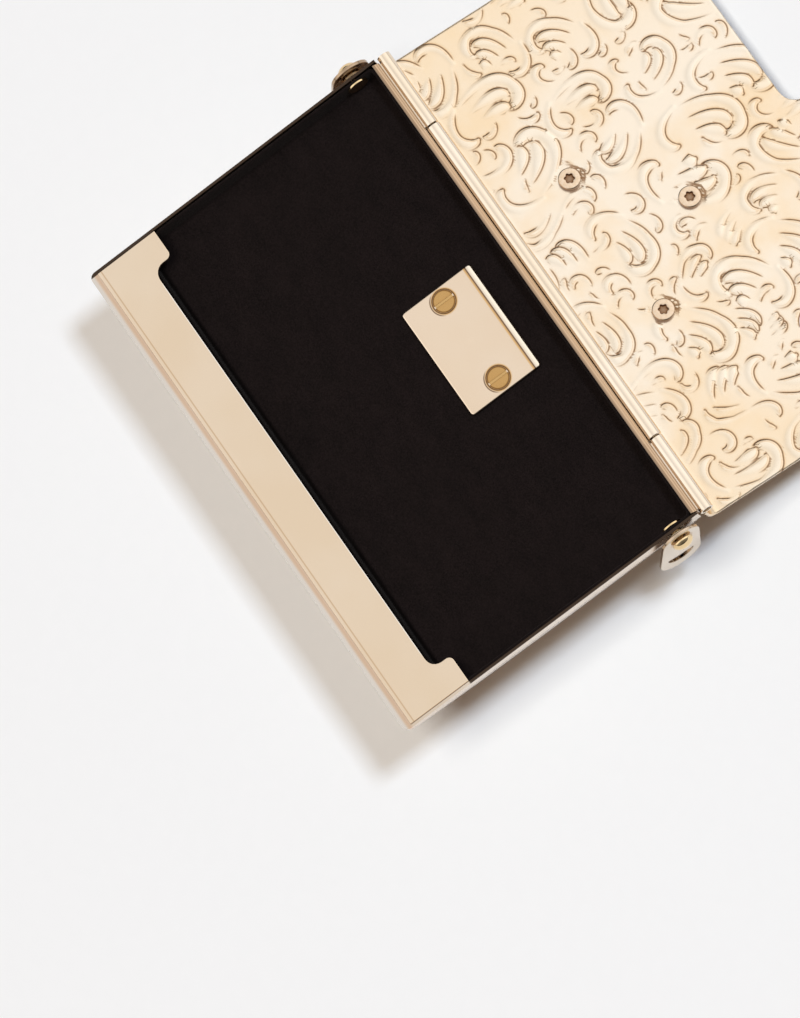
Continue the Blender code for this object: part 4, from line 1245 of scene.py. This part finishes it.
def makeLidScrew(node, x, along, s):
    # Rings from the head's foot up its side, over its edge as a quarter round and down into the
    # socket, where the radius is waved six times round.
    angle = 2 * math.pi * np.arange(s["turns"]) / s["turns"]
    base = lid["level"] + lid["sheet"] / 2 - s["sink"]
    top = base + s["height"]
    brown, stop = s["roundShadeBrown"]
    rings = [(s["radius"] + past, base + up, wave, worn) for past, up, wave, worn in s["side"]]
    rings += [(s["radius"] - s["round"] * (1 - math.cos(a)), top - s["round"] * (1 - math.sin(a)), 0,
               brown * max(1 - a / stop, 0)) for a in np.linspace(0, math.pi / 2, s["roundRings"])]
    rings += [(s["socket"] + past, top - down, wave, worn) for past, down, wave, worn in s["inside"]]
    radius, height, wave, worn = np.array(rings).T[:, :, None]
    r = radius * (1 + s["lobe"] * wave * np.cos(6 * angle))
    body = lidPlace(*np.broadcast_arrays(x + r * np.cos(angle), along + r * np.sin(angle), height))
    item = makeRings(pieceName(node), body, lidPlace(x, along, base), lidPlace(x, along, rings[-1][1]))
    item.data.set_sharp_from_angle(angle=math.radians(s["sharpFrom"]))
    # painted shade, ring by ring, for the material
    addAttribute(item, "worn", np.concatenate([np.repeat(worn, s["turns"]), s["poleShadeBrown"]]))
    item.data.materials.append(lidScrewGold)
    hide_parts(node)
    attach(item, "lid")


for node, (x, along) in zip(("lid_screw_left", "lid_screw_right", "lid_screw_far"), scrolls["screws"]):
    makeLidScrew(node, x, along, lidScrew)
print("lid screws made")

# Suede lining of the tray

lining = {
    "halfX": 59.45,
    "front": -44.55,
    "back": 18.35,
    "thickness": 0.6,
    "floor": 4.8,
    "top": 10.0,
    "frontTop": 9.62,        # it stops lower, right under the strip
    "frontStop": (-39.2, -38.6),     # along Y, where its top rises from there to the top
    "corner": 1.3,
    "leastCorner": 0.25,
    "cove": 0.9,
    "coveSteps": 7,
    "cornerSteps": 8,
    "edgePoints": 90,
    "floorRings": 40,
    # the wall's rounded top: inset and depth, as shares of the thickness
    "topRound": ((0, 0.45), (0.12, 0.15), (0.35, 0.0), (0.65, 0.0), (0.88, 0.15), (1.0, 0.45)),
}


def roundedOutline(halfX, halfY, radius, edgePoints, cornerSteps):
    # Points anticlockwise round a rectangle with round corners, the same number for any size.
    pieces = []
    for turn, (sx, sy) in enumerate(((1, 1), (-1, 1), (-1, -1), (1, -1))):
        angle = math.pi / 2 * turn + np.linspace(0, math.pi / 2, cornerSteps + 1)
        cx, cy = sx * (halfX - radius), sy * (halfY - radius)
        pieces.append(np.stack([cx + radius * np.cos(angle), cy + radius * np.sin(angle)], axis=1))
    points = []
    for number, piece in enumerate(pieces):
        follow = pieces[(number + 1) % 4][0]
        share = np.linspace(0, 1, edgePoints + 2)[1:-1, None]
        points += [piece, piece[-1] + (follow - piece[-1]) * share]
    return np.concatenate(points)


def makeLining(s):
    # Rings of a round-cornered outline: out along the underside, up the cove and the outside,
    # over the rounded top, down the inside and in over the floor.
    middle = (s["front"] + s["back"]) / 2
    halfY = (s["back"] - s["front"]) / 2
    t, cove = s["thickness"], s["cove"]
    rings = []

    def ring(inset, z=None, below=0.0, shrink=1.0):
        # Without a height, the ring lies this share of the thickness below the wall's top.
        radius = max(s["corner"] - inset, s["leastCorner"])
        x, y = shrink * roundedOutline(s["halfX"] - inset, halfY - inset, radius, s["edgePoints"], s["cornerSteps"]).T
        y += middle
        top = between(s["frontTop"], s["top"], easeStep(*s["frontStop"], y))
        rings.append(np.stack(np.broadcast_arrays(x, y, top - below * t if z is None else z), axis=1))

    bend = np.linspace(0, math.pi / 2, s["coveSteps"])
    shares = np.linspace(1, 0, s["floorRings"])[1:-1]
    for share in shares[::-4]:
        ring(cove, s["floor"] - t, shrink=share)
    for angle in bend:
        ring(cove * (1 - math.sin(angle)), s["floor"] - t + cove * (1 - math.cos(angle)))
    for inset, below in s["topRound"]:
        ring(inset * t, below=below)
    for angle in bend[::-1]:
        ring(t + cove * (1 - math.sin(angle)), s["floor"] + cove * (1 - math.cos(angle)))
    for share in shares:
        ring(t + cove, s["floor"], shrink=share)
    return makeRings("suedeLining", rings, (0, middle, s["floor"] - t), (0, middle, s["floor"]))


suedeLining = makeLining(lining)
suedeLining.data.materials.append(blackSuede)
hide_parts("suede_liner")
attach(suedeLining, "case")
print("lining made")

# Plate in the tray, its edge towards the hinge rolled over


def makePlate(s):
    # Rings from the foot up the side and inwards: the height falls as a quarter round within
    # the edge's width, and as a slower round within the roll.
    halfX, halfY = s["half"]
    rings = []

    def ring(inset, foot=None, shrink=1.0):
        radius = max(s["corner"] - inset, s["leastCorner"])
        x, y = shrink * roundedOutline(halfX - inset, halfY - inset, radius, s["edgePoints"], s["cornerSteps"]).T
        near = np.clip(1 - inset / s["edge"], 0, 1) if shrink == 1.0 else 0.0
        drop = s["edge"] * (1 - math.sqrt(1 - near ** 2))
        roll = np.clip((y - halfY) / s["rollWidth"] + 1, 0, 1)
        depth, place, width = s["rollCrease"]
        crease = depth * np.exp(-((roll - place) / width) ** 2)
        fall = s["rollDrop"] * (1 - np.sqrt(1 - s["rollShare"] * roll ** 2)) + crease
        z = s["top"] - drop - fall if foot is None else foot
        rings.append(np.stack(np.broadcast_arrays(x + s["middle"][0], y + s["middle"][1], z), axis=1))

    ring(s["footEdge"][0], s["bottom"])
    ring(0.0, s["bottom"] + s["footEdge"][1])
    for inset in s["insets"]:
        ring(inset)
    for shrink in np.linspace(*s["innerRings"]):
        ring(s["insets"][-1], shrink=shrink)
    return makeRings("trayPlate", rings, (*s["middle"], s["bottom"]), (*s["middle"], s["top"]))


trayPlate = makePlate(plate)
trayPlate.data.materials.append(plateGold)
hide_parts("inner_plate")
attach(trayPlate, "case")
print("plate made")

# Floor and light

studio = {
    "floorZ": -20.8,         # mm
    "floorSize": 6000,
    "floorColour": (0.896, 0.896, 0.896),
    "paperNoise": (300, 2),
    "paperShade": 0.995,
    "lampAim": (0.02, 0.0, 0.0),     # m
    # two soft lamps, both hidden from mirrors: place and size in m, watts and colour
    "lamps": {
        "keyLamp": ((0.36, 1.66, 3.6), 0.55, 80.0, (0.72, 0.85, 1.0)),
        "fillLamp": ((0.10, -0.5, 4.0), 1.5, 93.0, (1.0, 0.98, 0.915)),
    },
    "fill": (0.145, 0.090, 0.060),
    # what metal mirrors: the product of levels along X, Y and Z, each by place from 0 to 1
    "mirrorMost": 1.3,
    "levels": (
        ((0.0, 0.08), (0.10, 0.12), (0.20, 0.95), (0.35, 1.0), (0.70, 1.0), (0.84, 0.30), (1.0, 0.10)),
        ((0.0, 0.85), (0.10, 1.0), (0.25, 0.95), (0.38, 0.72), (0.50, 0.70), (0.62, 0.82), (0.72, 0.88),
         (0.88, 1.0), (1.0, 1.0)),
        ((0.0, 0.40), (0.06, 0.45), (0.20, 0.80), (0.50, 1.0), (1.0, 1.0)),
    ),
}


def makeFloor(s):
    # One square of paper, level under the bag.
    half = s["floorSize"] / 2
    corners = [(-half, -half), (half, -half), (half, half), (-half, half)]
    item = makePiece("paleFloor", [(x, y, s["floorZ"]) for x, y in corners], [(0, 1, 2, 3)], False)
    look = Finish("palePaper", s["floorColour"], 0, 0.9)
    look.put({"Specular IOR Level": 0})
    dark = tuple(value * s["paperShade"] for value in s["floorColour"])
    tint = look.blend(look.spread(look.noise(*s["paperNoise"]), 0, 1), s["floorColour"], dark)
    item.data.materials.append(look.finish(tint))


def makeLamp(name, place, size, watts, colour):
    # A square lamp turned towards the aim.
    data = bpy.data.lights.new(name, "AREA")
    data.size = size
    data.energy = watts
    data.color = colour
    item = bpy.data.objects.new(name, data)
    bpy.context.collection.objects.link(item)
    item.location = Vector(place)
    item.rotation_euler = (Vector(place) - Vector(studio["lampAim"])).to_track_quat("Z", "Y").to_euler()
    item.visible_glossy = False      # the metal mirrors the world in its place


def makeWorld(s):
    # Even fill for the light; what mirrors see is white overhead and darker near the horizon.
    world = bpy.data.worlds.new("studioWorld")
    bpy.context.scene.world = world
    world.use_nodes = True
    world.node_tree.nodes.clear()
    sky = NodeTree(world.node_tree)
    way = sky.add("ShaderNodeTexCoord", {}, "Generated")
    mirrored = s["mirrorMost"]
    for axis, levels in enumerate(s["levels"]):
        place = sky.add("ShaderNodeSeparateXYZ", {0: way}, axis)
        if axis < 2:
            # From -1 to 1 along X and Y; along Z only what is above the horizon counts
            place = sky.sum("ADD", sky.times(place, 0.5), 0.5)
        level = sky.add("ShaderNodeValToRGB", {"Fac": place})
        elements = level.node.color_ramp.elements
        while len(elements) < len(levels):
            elements.new(0.5)
        for element, (position, grey) in zip(elements, levels):
            element.position = position
            element.color = (grey, grey, grey, 1)
        mirrored = sky.times(level, mirrored)
    camera, glossy, through = (sky.add("ShaderNodeLightPath", {}, "Is " + kind + " Ray")
                               for kind in ("Camera", "Glossy", "Transmission"))
    light = sky.lay(s["fill"], mirrored, sky.most(glossy, through))
    background = sky.add("ShaderNodeBackground", {"Color": sky.lay(light, s["floorColour"], camera)})
    sky.give(background, world.node_tree.nodes.new("ShaderNodeOutputWorld").inputs["Surface"])


makeFloor(studio)
for name, values in studio["lamps"].items():
    makeLamp(name, *values)
makeWorld(studio)
print("studio set")
